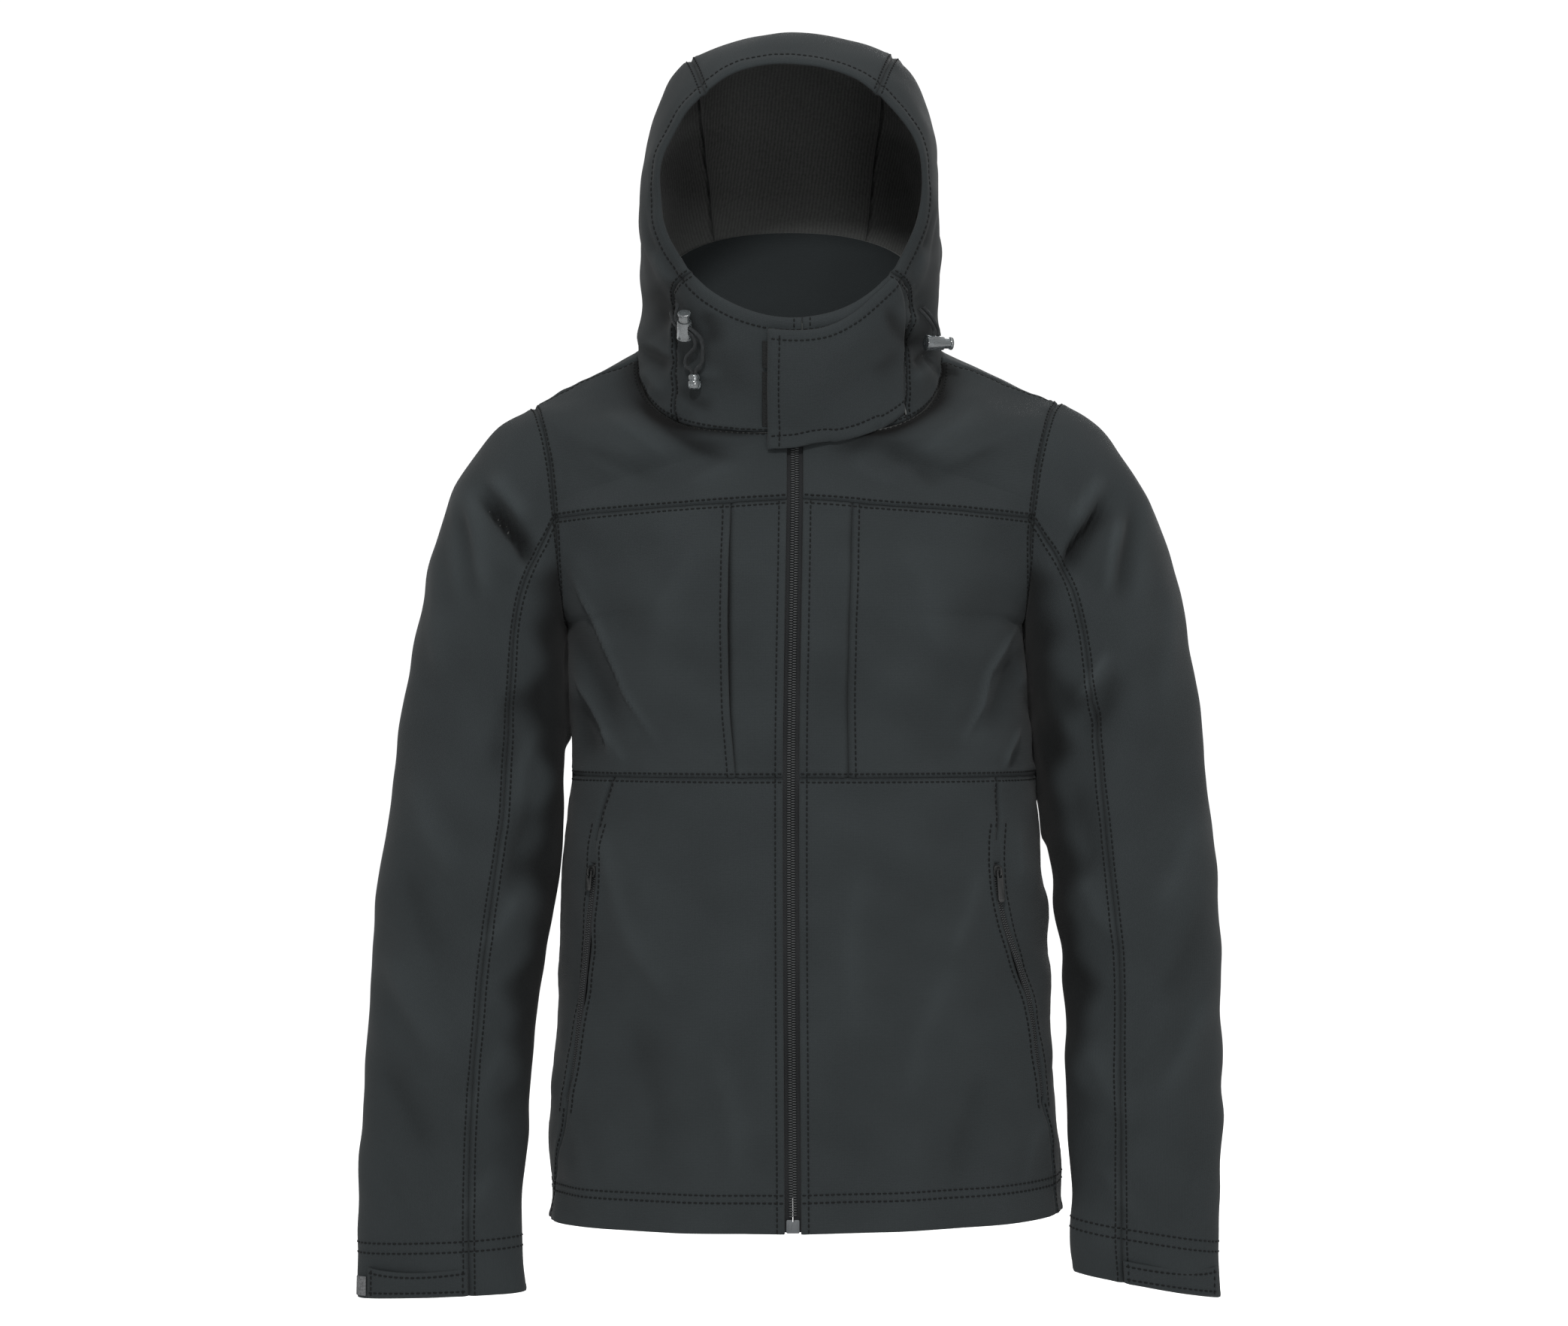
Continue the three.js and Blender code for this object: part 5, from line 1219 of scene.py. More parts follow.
def front_pieces(side, word):
    """The five cut pieces of one front, from the hem up to the neck."""
    skin = FRONT[side]
    rows = LOW_ROWS[None, :]
    a, b = front_edge_share(side, LOW_ROWS), pocket_seam_share(side, LOW_ROWS)
    columns = shares(165, CLOTH_STEP)[:, None]
    lower = on_skin(f"lower_front_{word}_cloth", skin, mix(a, b, columns), rows)
    lower.finish_edges(seams="v1", folds="u0 v0")
    pocket_lip(lower, "u1")
    drape(lower)
    place_panel(lower, [f"lower_front_{word}"], CLOTH)

    columns = shares(58, CLOTH_STEP)[:, None]
    flank = on_skin(f"lower_side_{word}_cloth", skin, mix(b, 1, columns), rows)
    flank.finish_edges(seams="v1 u1", folds="v0")
    pocket_lip(flank, "u0")
    drape(flank)
    place_panel(flank, [f"lower_side_{word}"], CLOTH)

    rows = CHEST_V[None, :]
    a, b = front_edge_share(side, CHEST_V), chest_seam_share(side, CHEST_V)
    strip = on_skin(f"centre_strip_{word}_cloth", skin, mix(a, b, shares(40, 3.6)[:, None]), rows)
    strip.finish_edges(seams="v0 v1 u1", folds="u0")
    drape(strip)
    chest = on_skin(f"chest_front_{word}_cloth", skin, mix(b, 1, shares(150, 2.3)[:, None]), rows)
    mitre(chest, side, CHEST_V, "u1")
    chest.finish_edges(seams="v0 v1 u1 u0" if side > 0 else "v0 v1 u1", folds="" if side > 0 else "u0")
    drape(chest)
    place = np.where(CHEST_V < 2, 0.5, YOKE_S * (CHEST_V - 2))
    chest.push = shut_armpit(chest.push, chest.far["u1"], place)
    rise = np.sin(math.pi * np.clip((CHEST_V - 1.02) / 1.96, 0, 1))[None, :]
    if side < 0:
        chest.push += 1.9 * rise * ease(1 - chest.far["u0"] / 15)
        strip.push -= 1.1 * rise * bell(strip.far["u1"], 3.5)
        # Painted shadow under the lifted edge of this chest pocket
        strip.shade -= 0.45 * rise * bell(strip.far["u1"], 3)
    place_panel(strip, [f"centre_strip_{word}"], CLOTH)
    place_panel(chest, [f"chest_front_{word}"], CLOTH)

    rows = NECK_V[None, :]
    centre = body_row(side, True, NECK_V)[0]
    left = FRONT_EDGE - np.abs(centre[..., 0] - read(ZIP_X, NECK_FRONT_Z)[0])
    start = np.where(NECK_V <= NECK_FRONT_ROW, front_edge_share(side, NECK_V), np.maximum(left, 0) / 190)
    yoke = on_skin(f"front_yoke_{word}_cloth", skin, mix(start, 1, shares(190, CLOTH_STEP)[:, None]), rows)
    mitre(yoke, side, NECK_V, "u1")
    yoke.finish_edges(seams="v0 v1 u1")
    neck_side = rows > NECK_FRONT_ROW
    d = yoke.far["u0"]
    x, z = yoke.base[..., 0], yoke.base[..., 2]
    # Painted shadow on the yoke under the hood's lower edge, beside painted shade in the neck seam
    painted_hood_shadow = 0.75 * bell(d, 15) * ease((np.abs(x) - 20) / 25)
    yoke.push += np.where(neck_side, seam_roll(d), 0.3 * ease((6 - d) / 2))
    yoke.shade -= np.where(neck_side, 0.3 * bell(d, 1.5) + painted_hood_shadow, 0)
    # Painted shadows along the lines of NECK_SHADOWS
    yoke.shade += 0.1 * creases(x, z, NECK_SHADOWS)
    drape(yoke, 0.8)
    place_panel(yoke, [f"front_yoke_{word}"], CLOTH)


def back_grid(rows, half, flat_rows):
    """The two halves of a back piece, each from the centre line out, alike along the centre line."""
    halves = []
    for side in (-1, 1):
        points, normals = BACK[side].at(half[:, None], rows), BACK[side].normal(half[:, None], rows)
        normals[0, flat_rows, 0] = 0
        normals[0] = unit(normals[0])
        halves.append((points, normals))
    return halves


def back_body():
    """The back from the hem up to the yoke, one piece from side to side."""
    length = [0, 352, 477, 572]
    rows = np.interp(shares(length[-1], 4.4) * length[-1], length, [0, 1, 2, 3])
    columns = 2 * shares(600, 4.4) - 1
    half = np.concatenate([[0], columns[columns > 0.004]])
    right, left = back_grid(rows, half, rows >= 0)
    points = np.concatenate([right[0][::-1], left[0][1:]])
    normals = np.concatenate([right[1][::-1], left[1][1:]])
    panel = Panel("back_body_cloth", points, normals, WALL)
    for side, edge in ((-1, "u0"), (1, "u1")):
        s = np.where(rows < 3, 1 - YOKE_S * (rows - 2), 0)
        goal = armhole_normal(side, s, False)
        weight = (bell(panel.far[edge], 6) * (rows >= 2))[..., None]
        panel.normals = unit(mix(panel.normals, goal[None], weight))
    panel.finish_edges(seams="u0 u1 v1", folds="v0")
    drape(panel)
    place = np.where(rows < 2, 0.5, YOKE_S * (rows - 2))
    for edge in ("u0", "u1"):
        panel.push = shut_armpit(panel.push, panel.far[edge], place)
    place_panel(panel, ["back_body"], CLOTH)


def back_yoke():
    """The back yoke up to the neck seam, its halves joined below the neck and parted above it."""
    rows = np.concatenate([
        mix(3, NECK_BACK_ROW, shares(128, CLOTH_STEP)), mix(NECK_BACK_ROW, 4, shares(140, CLOTH_STEP))[1:],
    ])
    half = shares(190, CLOTH_STEP)
    right, left = back_grid(rows, half, rows <= NECK_BACK_ROW + 1e-6)
    points = np.concatenate([right[0][::-1], left[0]])
    normals = np.concatenate([right[1][::-1], left[1]])
    middle = len(half) - 1
    panel = Panel("back_yoke_cloth", points, normals, WALL)
    above = rows > NECK_BACK_ROW + 1e-6
    jump = np.linalg.norm(points[middle + 1] - points[middle], axis=-1)
    panel.across[middle + 1:] -= jump[None, :]
    panel.far["u1"] = panel.across[-1] - panel.across
    panel.flat = (panel.across[-1].max(), panel.flat[1])
    for side, edge in ((-1, "u0"), (1, "u1")):
        goal = armhole_normal(side, 1 - mix(YOKE_S, 0.5, rows - 3), False)
        panel.normals = unit(mix(panel.normals, goal[None], bell(panel.far[edge], 6)[..., None]))
    panel.finish_edges(seams="u0 u1 v0 v1")
    neck = np.where(np.arange(len(points))[:, None] <= middle, panel.across[middle] - panel.across,
                    panel.across - panel.across[middle + 1])
    below = np.clip((NECK_BACK_ROW - rows) / 0.25 * 128, 0, None)[None, :]
    reach = np.hypot(neck, below)
    panel.push += seam_roll(reach)
    drape(panel, 0.8)

    def join(ids):
        ids = ids.copy()
        ids[middle + 1, ~above] = ids[middle, ~above]
        return ids
    place_panel(panel, ["back_yoke"], CLOTH, weld=(join, middle))


def lay_tape(panel, node, finish_of):
    """A patch of hook or loop tape sewn flat on the cloth."""
    outer, inner = panel.outer()
    made = wall_object(panel.name, outer, inner, [finish_of], (panel.across, panel.along))
    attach(made, "jacket")
    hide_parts(node)
    panel.outer_grid = outer
    PANELS[panel.name] = panel


def sleeve_pieces(side, word):
    """Both cut pieces of one sleeve, its cuff tab, and the hook patch that shows on the right cuff."""
    skin = SLEEVE[side]
    rows = spaced(lambda k: skin.at(0.3, k), 0, 1, 4.3)
    seam = read(UNDER_SEAM, rows)[0]
    for name, a, b, width in (
        ("top_sleeve", seam, 1 - seam, 240), ("under_sleeve", -seam, seam, 150),
    ):
        turn = mix(a, b, shares(width, 4.3)[:, None])
        panel = on_skin(f"{name}_{word}_cloth", skin, turn, rows[None, :])
        goal = armhole_normal(side, turn[:, 0], True)
        panel.normals = unit(mix(panel.normals, goal[:, None], bell(panel.far["v0"], 6)[..., None]))
        panel.finish_edges(seams="v0 u0 u1", folds="v1")
        drape(panel, 0.9)
        panel.push = shut_armpit(panel.push, panel.far["v0"], turn[:, :1])
        if name == "under_sleeve":
            z = panel.base[..., 2]
            low_end = -322 if side < 0 else -402
            behind = bell(turn + 0.09, 0.055) * ease((z - low_end) / 18) * ease((-192 - z) / 18)
            panel.push += 11 * behind
            # Painted shade on the under sleeve where it faces the body: a band with a ragged edge
            ragged = 0.035 * np.sin(z / 17) + 0.02 * np.sin(z / 7.3 + 1)
            wide = 0.145 + 0.045 * ease((z + 330) / 60) + 0.6 * ragged
            painted_inner_shade = ease((z + 690) / 200) * ease((-132 - z) / 26) * ease((wide - turn) / 0.07)
            panel.shade -= 0.8 * painted_inner_shade
        place_panel(panel, [f"{name}_{word}"], CLOTH)
    tab_end = 0.408 if side < 0 else 0.43
    i = shares(70, 2.6)[:, None]
    j = shares(34, 2.6)[None, :]
    k = mix(0.946, 0.997, j) + 0.007 * np.sin(math.pi * i) * (1 - j)
    s = mix(read(UNDER_SEAM, k)[0] + 0.004, tab_end, i)
    tab = on_skin(f"cuff_tab_{word}_cloth", skin, s, k, 1.6)
    tab.push += 2.4 + 0.12 * swells(tab.base, RIPPLES)
    for edge in ("u0", "u1", "v0", "v1"):
        tab.push -= 0.5 * bell(tab.far[edge], 1.1)
        tab.push -= 0.35 * bell(tab.far[edge] - 3.4, 0.9)
    place_panel(tab, [f"cuff_tab_{word}"], CLOTH, roll=0.6)
    if side < 0:
        patch = on_skin("cuff_patch_right_tape", skin, mix(0.418, 0.47, shares(20, 2)[:, None]),
                        mix(0.962, 0.995, shares(22, 2)[None, :]), 0.9)
        patch.push += 1.2
        lay_tape(patch, "cuff_patch_right", HOOKS)


HOOD_T = spaced(lambda t: hood_at(100, t), 0, 1, CLOTH_STEP)


def hood_pieces():
    """The five cut pieces of the hood and the band that faces its neck seam inside."""
    t = HOOD_T
    edge_deg = np.degrees(np.arcsin(FRONT_EDGE / read(HOOD, t)[4]))
    for side, word in ((-1, "right"), (1, "left")):
        # The right part's top edge runs on over the end of the zip, up to the left part
        start = edge_deg * (1 - 1.86 * ease((0.13 - t) / 0.03)) if side < 0 else edge_deg
        degs = side * mix(start, chin_seam(t), shares(95, 4.0)[:, None])
        chin = on_skin(f"hood_chin_{word}_cloth", HOOD_SKIN, degs, t[None, :])
        chin.finish_edges(seams="v1 u1", folds="u0", pucker=1.5)
        face_hem(chin)
        hood_drape(chin)
        place_panel(chin, [f"hood_chin_{word}"], CLOTH)
        degs = side * mix(chin_seam(t), crown_seam(t), shares(235, 4.3)[:, None])
        flank = on_skin(f"hood_side_{word}_cloth", HOOD_SKIN, degs, t[None, :])
        flank.finish_edges(seams="v1 u0 u1", pucker=0.8)
        face_hem(flank)
        hood_drape(flank)
        place_panel(flank, [f"hood_side_{word}"], CLOTH)
    degs = mix(crown_seam(t), 360 - crown_seam(t), shares(140, CLOTH_STEP)[:, None])
    crown = on_skin("hood_centre_cloth", HOOD_SKIN, degs, t[None, :])
    crown.finish_edges(seams="v1 u0 u1")
    face_hem(crown)
    hood_drape(crown)
    place_panel(crown, ["hood_centre"], CLOTH)
    rows = mix(0.74, 0.96, shares(62, 4)[None, :])
    band = on_skin("neck_band_cloth", HOOD_SKIN, mix(24, 336, shares(520, 4.6)[:, None]), rows, 1.6)
    band.push += -WALL - mix(3.4, 0.75, shares(62, 4)[None, :])
    # Painted shade on the band at the front, where it shows in the notch between the chin pieces
    band.shade -= 0.7 * bell(band.base[..., 0], 16) * ease(-band.base[..., 1] / 10)
    place_panel(band, ["neck_band"], [LINING, SHELL])


def face_hem(panel):
    """The cord channel round the face opening: a fuller band 10 mm wide."""
    d = panel.far["v0"]
    panel.push += -0.8 * bell(d, 1.0) + 0.9 * bell(d - 4.6, 3.2) - 0.5 * bell(d - 10, 1.2)
    panel.push += 0.3 * swells(panel.base, RIPPLES) * bell(d - 9, 7)


# Creases on the sides of the hood: height, half width, points (y, z)
HOOD_CREASES = [
    [2.0, 9, (0, 40), (26, 76), (56, 108)],
    [-1.6, 9, (-34, 60), (-14, 110), (10, 150)],
    [1.8, 9, (36, 150), (60, 180), (92, 200)],
    [-1.8, 7, (52, 26), (80, 44), (104, 66)],
    [1.8, 7, (-50, -8), (-10, 10), (34, 22)],
    [1.4, 9, (-84, 40), (-74, 96), (-52, 150)],
    [-1.4, 7, (-86, -20), (-50, -2), (-20, 4)],
]


# Gathers beside the cord locks, seen from the front: height, half width, points (x, z)
CORD_GATHERS = [
    [-3.0, 4.4, (-121, 5), (-108, -8), (-94, -18)],
    [3.2, 4.4, (-113, 10), (-101, -2), (-88, -10)],
    [2.8, 5, (-119, -12), (-109, -24), (-98, -38)],
    [-4.2, 8, (-112, 48), (-104, 30), (-98, 12)],
    [-3.0, 6, (-70, 26), (-62, 12), (-60, -4)],
    [-2.4, 4.5, (-90, -30), (-76, -44), (-58, -51)],
    [2.0, 5, (-86, -12), (-70, -23), (-50, -24)],
    [2.4, 6, (-104, 78), (-100, 58), (-92, 44)],
    [-2.4, 6, (-108, 108), (-105, 84), (-100, 64)],
    [-5.2, 5, (72, 30), (80, 12), (90, 4), (106, 2)],
    [2.8, 5, (80, 30), (90, 20), (104, 24)],
    [-3.4, 3.6, (113, 2), (106, -6), (96, -13)],
    [2.8, 5, (112, -7), (104, -18), (92, -26)],
    [-2.4, 5, (86, -4), (72, -16), (58, -20)],
    [2.2, 6, (106, 78), (102, 58), (96, 44)],
    [-2.2, 6, (109, 108), (106, 84), (101, 64)],
]


def hood_drape(panel):
    """Adds the slow waves, the creases on the hood's sides and the gathers beside its cord locks, with
    their painted light and shade, and painted shade on the hood's sides.
    """
    x, y, z = np.moveaxis(panel.base, -1, 0)
    slow = 0.9 * swells(panel.base, WAVES)
    facing = ease(np.abs(panel.normals[..., 0]) * 1.6 - 0.3)
    ahead = ease(-panel.normals[..., 1] * 2) * ease((panel.far["v0"] - 12) / 8)
    gathers = creases(x, z, CORD_GATHERS) * ahead
    sharp = creases(y, z, HOOD_CREASES) * facing + gathers
    panel.push += slow + sharp
    # Painted light and shade: ridges lighter, troughs and gathers darker, and the sideways-facing parts
    # darker
    panel.shade += 0.02 * slow + 0.1 * sharp - 0.2 * facing + 0.05 * gathers


# Chin flap: top edge by degrees along the hood, drop below the neck seam, lift off the hood
FLAP_TOP = [[-12, 0.1], [12, 0.1], [26, 0.07], [38, 0.035], [50, 0.03]]
FLAP_DROP = [[-12, 14], [0, 13], [8, 9], [20, 5], [30, 2], [40, -3], [50, -8]]
FLAP_LIFT = [[-12, 4.6], [-6, 6.6], [0, 7.4], [6, 6.8], [14, 4.6], [24, 3.0], [50, 2.7]]
FLAP_EDGE_X = -19.5
FLAP_END_DEG = 48
FLAP_WALL = 1.8


def chin_flap():
    """The storm flap over the zip at the chin, and the two loop strips under it."""
    across = shares(125, 3.0)
    down = np.linspace(0, 1, 30)

    def degree(share, t):
        return mix(np.degrees(np.arcsin(FLAP_EDGE_X / read(HOOD, t)[4])), FLAP_END_DEG, share)

    points, normals = [], []
    for share in across:
        drop = read(FLAP_DROP, degree(share, 1.0))[0]
        end = min(0.94, 0.965 + drop / 110)
        top = read(FLAP_TOP, degree(share, 0.1))[0]
        t = mix(top, end, down)
        deg = degree(share, t)
        p, n = HOOD_SKIN.at(deg, t), HOOD_SKIN.normal(deg, t)
        lift = read(FLAP_LIFT, deg)[0]
        low_t = 1 + min(drop, 0) / 110
        low_deg = degree(share, low_t)
        q, m = HOOD_SKIN.at(low_deg, low_t), HOOD_SKIN.normal(low_deg, low_t)
        if drop > 0:
            side = -1 if q[0] < 3 else 1
            u, v = find_on(FRONT[side], q[0], q[2] - drop, abs(q[0]) / 190, NECK_FRONT_ROW - 0.02)
            q, m = FRONT[side].at(u, v), FRONT[side].normal(u, v)
        low_lift = read(FLAP_LIFT, low_deg)[0]
        outer = p + n * lift[:, None]
        foot = q + m * low_lift
        steps = np.linspace(0, 1, 8)[1:, None]
        outer = np.vstack([outer, mix(outer[-1], foot, steps)])
        turn = unit(np.vstack([n, unit(mix(n[-1], m, steps))]))
        points.append(outer)
        normals.append(turn)
    flap = Panel("chin_flap_cloth", np.array(points), np.array(normals), FLAP_WALL)
    for edge, band in (("u0", 9.0), ("v0", 7.5), ("v1", 9.0)):
        d = flap.far[edge]
        flap.push += 0.35 * bell(d - band / 2, band / 2.4) - 0.7 * bell(d, 1.1) - 0.45 * bell(d - band, 1.1)
        flap.push += 0.3 * swells(flap.base, RIPPLES) * bell(d - band, 6)
    flap.push -= 0.9 * bell(flap.far["u1"], 1.6)
    gathers = creases(flap.base[..., 0], flap.base[..., 2], CORD_GATHERS)
    flap.push += 0.5 * swells(flap.base, WAVES) + 0.2 * gathers
    # Painted shade in the gathers' troughs and painted highlights on their ridges
    flap.shade += 0.11 * gathers
    place_panel(flap, ["chin_flap"], CLOTH, roll=0.7)
    for name, t0, t1 in (("loop_strip_upper", 0.19, 0.385), ("loop_strip_lower", 0.42, 0.93)):
        t = mix(t0, t1, shares(60, 3)[None, :])
        deg = np.degrees(np.arcsin(mix(-24, -10, shares(14, 2)[:, None]) / read(HOOD, t)[4]))
        strip = on_skin(name + "_tape", HOOD_SKIN, deg, t, 1.2)
        strip.push += 1.6
        lay_tape(strip, name, LOOPS)


# Front zip

def zip_row(q, x, out):
    """Points along the front: q 0 to 1 is the body up to the neck, 1 to 2 the hood up to the face edge."""
    q = np.asarray(q, dtype=float)
    side = -1 if x < 0 else 1
    v = np.minimum(q, 1) * NECK_FRONT_ROW
    u = share_at_x(side, True, v, body_row(side, True, v)[0][..., 0] + x)
    low, low_n = FRONT[side].at(u, v), FRONT[side].normal(u, np.minimum(v, NECK_FRONT_ROW - 0.002))
    t = np.clip(2 - q, 0, 1)
    deg = np.degrees(np.arcsin(x / read(HOOD, t)[4]))
    high, high_n = HOOD_SKIN.at(deg, t), HOOD_SKIN.normal(deg, t)
    n = unit(mix(low_n, high_n, ease((q - 0.985) / 0.03)[..., None]))
    p = np.where((q <= 1)[..., None], low, high)
    return p + n * np.asarray(out)[..., None], n


def zip_line(start, end, x, out, step):
    """Points a step apart in mm along the front, and the out directions there."""
    q = np.linspace(start, end, 1200)
    p, n = zip_row(q, x, np.full(q.shape, out))
    far = lengths(p)
    at = np.arange(0, far[-1], step)
    return pick(at, far, p), unit(pick(at, far, n))


def repeat_part(name, shape, faces, frames, mats):
    """Copies one small shape in mm to many frames (origin, x, y, z) as one mesh."""
    points = np.concatenate([
        o + shape[:, :1] * x + shape[:, 1:2] * y + shape[:, 2:] * z for o, x, y, z in frames
    ])
    count = len(shape)
    cells = [[v + k * count for v in face] for k in range(len(frames)) for face in faces]
    mesh = bpy.data.meshes.new(name)
    mesh.from_pydata((points * MM).tolist(), [], cells)
    for m in mats:
        mesh.materials.append(m)
    mesh.polygons.foreach_set("use_smooth", np.ones(len(mesh.polygons), dtype=bool))
    made = put(name, mesh)
    fix_outside(made)
    return made


def tooth_shape(width, depth, height):
    """One turn of the coil: a rounded bar lying across the zip."""
    ring = [(math.cos(a) * depth / 2, math.sin(a) * height / 2) for a in np.arange(6) * math.pi / 3]
    points, faces = [], []
    for x, size in ((-0.5, 0.45), (-0.38, 1), (0.32, 1), (0.5, 0.6)):
        points += [(x * width, y * size, z * size) for y, z in ring]
    for r in (0, 6, 12):
        faces += [(r + k, r + (k + 1) % 6, r + 6 + (k + 1) % 6, r + 6 + k) for k in range(6)]
    faces += [tuple(range(5, -1, -1)), tuple(range(18, 24))]
    return np.array(points), faces


def front_zip():
    """Both tapes of the front zip and its closed chain of coil turns."""
    q = np.concatenate([
        np.linspace(0.001, 0.97, 190), np.linspace(0.975, 1.02, 12), np.linspace(1.025, 1.85, 30),
    ])
    for word, x0, x1 in (("right", -17, -0.3), ("left", 0.3, 17)):
        xs = np.linspace(x0, x1, 7)
        outer = np.stack([zip_row(q, x, np.full(q.shape, -3.2))[0] for x in xs])
        inner = np.stack([zip_row(q, x, np.full(q.shape, -4.0))[0] for x in xs])
        made = wall_object(f"zip_tape_{word}_cloth", outer, inner, [TAPE], roll=0.1)
        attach(made, "jacket")
        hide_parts(f"zip_tape_{word}")
    frames = []
    pitch = 2.0
    shape, faces = tooth_shape(3.3, 1.35, 1.7)
    line, n = zip_line(0.012, 1.845, 0.001, -2.5, pitch)
    along = unit(np.gradient(line, axis=0))
    for sign in (-1, 1):
        side = unit(np.cross(along, n)) * sign
        side = side * np.sign(side[:, :1]) * sign
        for p, a, b, c in zip(line, along, side, n):
            frames.append((p + b * 1.55 + a * (0.5 + 0.25 * sign) * pitch, -b, a, c))
    made = repeat_part("zip_chain_coil", shape, faces, frames, [COIL])
    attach(made, "jacket")
    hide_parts("zip_chain")


def low_row(z):
    """Body row below the waist at a height in mm."""
    return (z - HEM_Z) / (WAIST_Z - HEM_Z)


def beside_pocket(side, z, half, count):
    """Shares of a strip along a pocket seam, half its width in mm to either side, and the seam itself."""
    v = low_row(z)
    seam = pocket_seam_share(side, v)
    edge = body_row(side, True, v)[1]
    across = half / np.abs(edge[..., 0]) / (math.pi / 2) / np.maximum(np.cos(seam * math.pi / 2), 0.45)
    return np.minimum(seam + across * np.linspace(-1, 1, count)[:, None], 0.999), v, seam


def pocket_zip(side, word):
    """Coil strip of a slanted pocket: a narrow tape, a row of coil turns on each side, and the garage."""
    skin = FRONT[side]
    u, v, seam = beside_pocket(side, np.linspace(-591, -404.5, 95), 2.6, 7)
    tape = on_skin(f"pocket_zip_{word}_tape", skin, u, v[None, :], 0.7)
    tape.push += 1.0
    outer, inner = tape.outer()
    base = wall_object(tape.name, outer, inner, [TAPE], (tape.across, tape.along), roll=0.1)
    middle = skin.at(seam, v) + skin.normal(seam, v) * 1.15
    far = lengths(middle)
    at = np.arange(1, far[-1] - 1, 1.9)
    line, n = pick(at, far, middle), unit(pick(at, far, skin.normal(seam, v)))
    along = unit(np.gradient(line, axis=0))
    shape, faces = tooth_shape(2.3, 1.05, 1.1)
    frames = []
    for sign in (-1, 1):
        cross = unit(np.cross(along, n)) * sign
        for p, a, b, c in zip(line, along, cross, n):
            frames.append((p + b * 1.15 + a * 0.48 * sign, -b, a, c))
    coil = repeat_part(f"pocket_zip_{word}_coil", shape, faces, frames, [COIL])
    for made in (base, coil):
        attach(made, "jacket")
        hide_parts(f"pocket_zip_{word}")
    u, v, seam = beside_pocket(side, np.linspace(-403.5, -386, 12), 4.2, 11)
    garage = on_skin(f"pocket_garage_{word}_cloth", skin, u, v[None, :], 1.45)
    garage.push += 2.1 - 0.5 * bell(garage.far["u0"], 1) - 0.5 * bell(garage.far["u1"], 1)
    garage.push -= 0.4 * bell(garage.far["v0"], 0.9) + 0.6 * bell(garage.far["v1"], 2.5)
    place_panel(garage, [f"pocket_garage_{word}"], CLOTH, roll=0.4)


# Hard parts, modelled flat in mm (x across, y along, z out) and then seated

def frame_of(origin, up, out):
    """Place on the cloth as a matrix in metres: x across, y up, z out of the cloth."""
    z = unit(out)
    y = unit(up - z * (up @ z))
    return axes_of(origin, np.cross(y, z), y, z)


def axes_of(origin, x, y, z):
    """Matrix in metres from an origin and three directions in mm."""
    place = Matrix.Identity(4)
    for k, axis in enumerate((x, y, z)):
        place.col[k].xyz = Vector(axis) * MM
    place.col[3].xyz = Vector(origin) * MM
    return place


def use_modifier(made, kind, **settings):
    """Adds one modifier and applies it."""
    bpy.ops.object.select_all(action="DESELECT")
    made.select_set(True)
    bpy.context.view_layer.objects.active = made
    modifier = made.modifiers.new(kind.lower(), kind)
    for key, value in settings.items():
        setattr(modifier, key, value)
    bpy.ops.object.modifier_apply(modifier=modifier.name)
    return made


def soften(made, width):
    """Rounds every sharp edge."""
    return use_modifier(made, "BEVEL", width=width, segments=2, limit_method="ANGLE",
                        angle_limit=math.radians(28))


def prism(outline, depth, low=0.0, turned=False):
    """A plate from an outline: a flat polygon extruded upwards, or lying across x when turned."""
    bpy.ops.object.select_all(action="DESELECT")
    bpy.ops.mesh.primitive_circle_add(vertices=len(outline), fill_type="NGON")
    made = bpy.context.object
    for vertex, (x, y) in zip(made.data.vertices, outline):
        vertex.co = (x, y, low)
    bpy.ops.object.mode_set(mode="EDIT")
    bpy.ops.mesh.select_all(action="SELECT")
    bpy.ops.mesh.extrude_region_move(TRANSFORM_OT_translate={"value": (0, 0, depth)})
    bpy.ops.mesh.select_all(action="SELECT")
    bpy.ops.mesh.normals_make_consistent(inside=False)
    bpy.ops.object.mode_set(mode="OBJECT")
    if turned:
        made.data.transform(Matrix(((0, 0, 1, 0), (1, 0, 0, 0), (0, 1, 0, 0), (0, 0, 0, 1))))
    return made


def slab(size, at, bevel=0.0):
    """A box in mm by its size and centre, its edges rounded."""
    bpy.ops.object.select_all(action="DESELECT")
    bpy.ops.mesh.primitive_cube_add(size=1)
    made = bpy.context.object
    made.data.transform(Matrix.Translation(at) @ Matrix.Diagonal((*size, 1)))
    return soften(made, bevel) if bevel else made


def barrel(start, end, x0, x1, bevel=0.0):
    """A round or tapered bar along x between two places."""
    bpy.ops.object.select_all(action="DESELECT")
    bpy.ops.mesh.primitive_cone_add(vertices=48, radius1=start, radius2=end, depth=x1 - x0)
    made = bpy.context.object
    made.data.transform(Matrix.Translation(((x0 + x1) / 2, 0, 0)) @ Matrix.Rotation(math.pi / 2, 4, "Y"))
    return soften(made, bevel) if bevel else made


def cut_away(made, *cutters):
    """Cuts the other shapes out of the first one."""
    for cutter in cutters:
        use_modifier(made, "BOOLEAN", operation="DIFFERENCE", object=cutter, solver="EXACT")
        bpy.data.objects.remove(cutter)
    return made


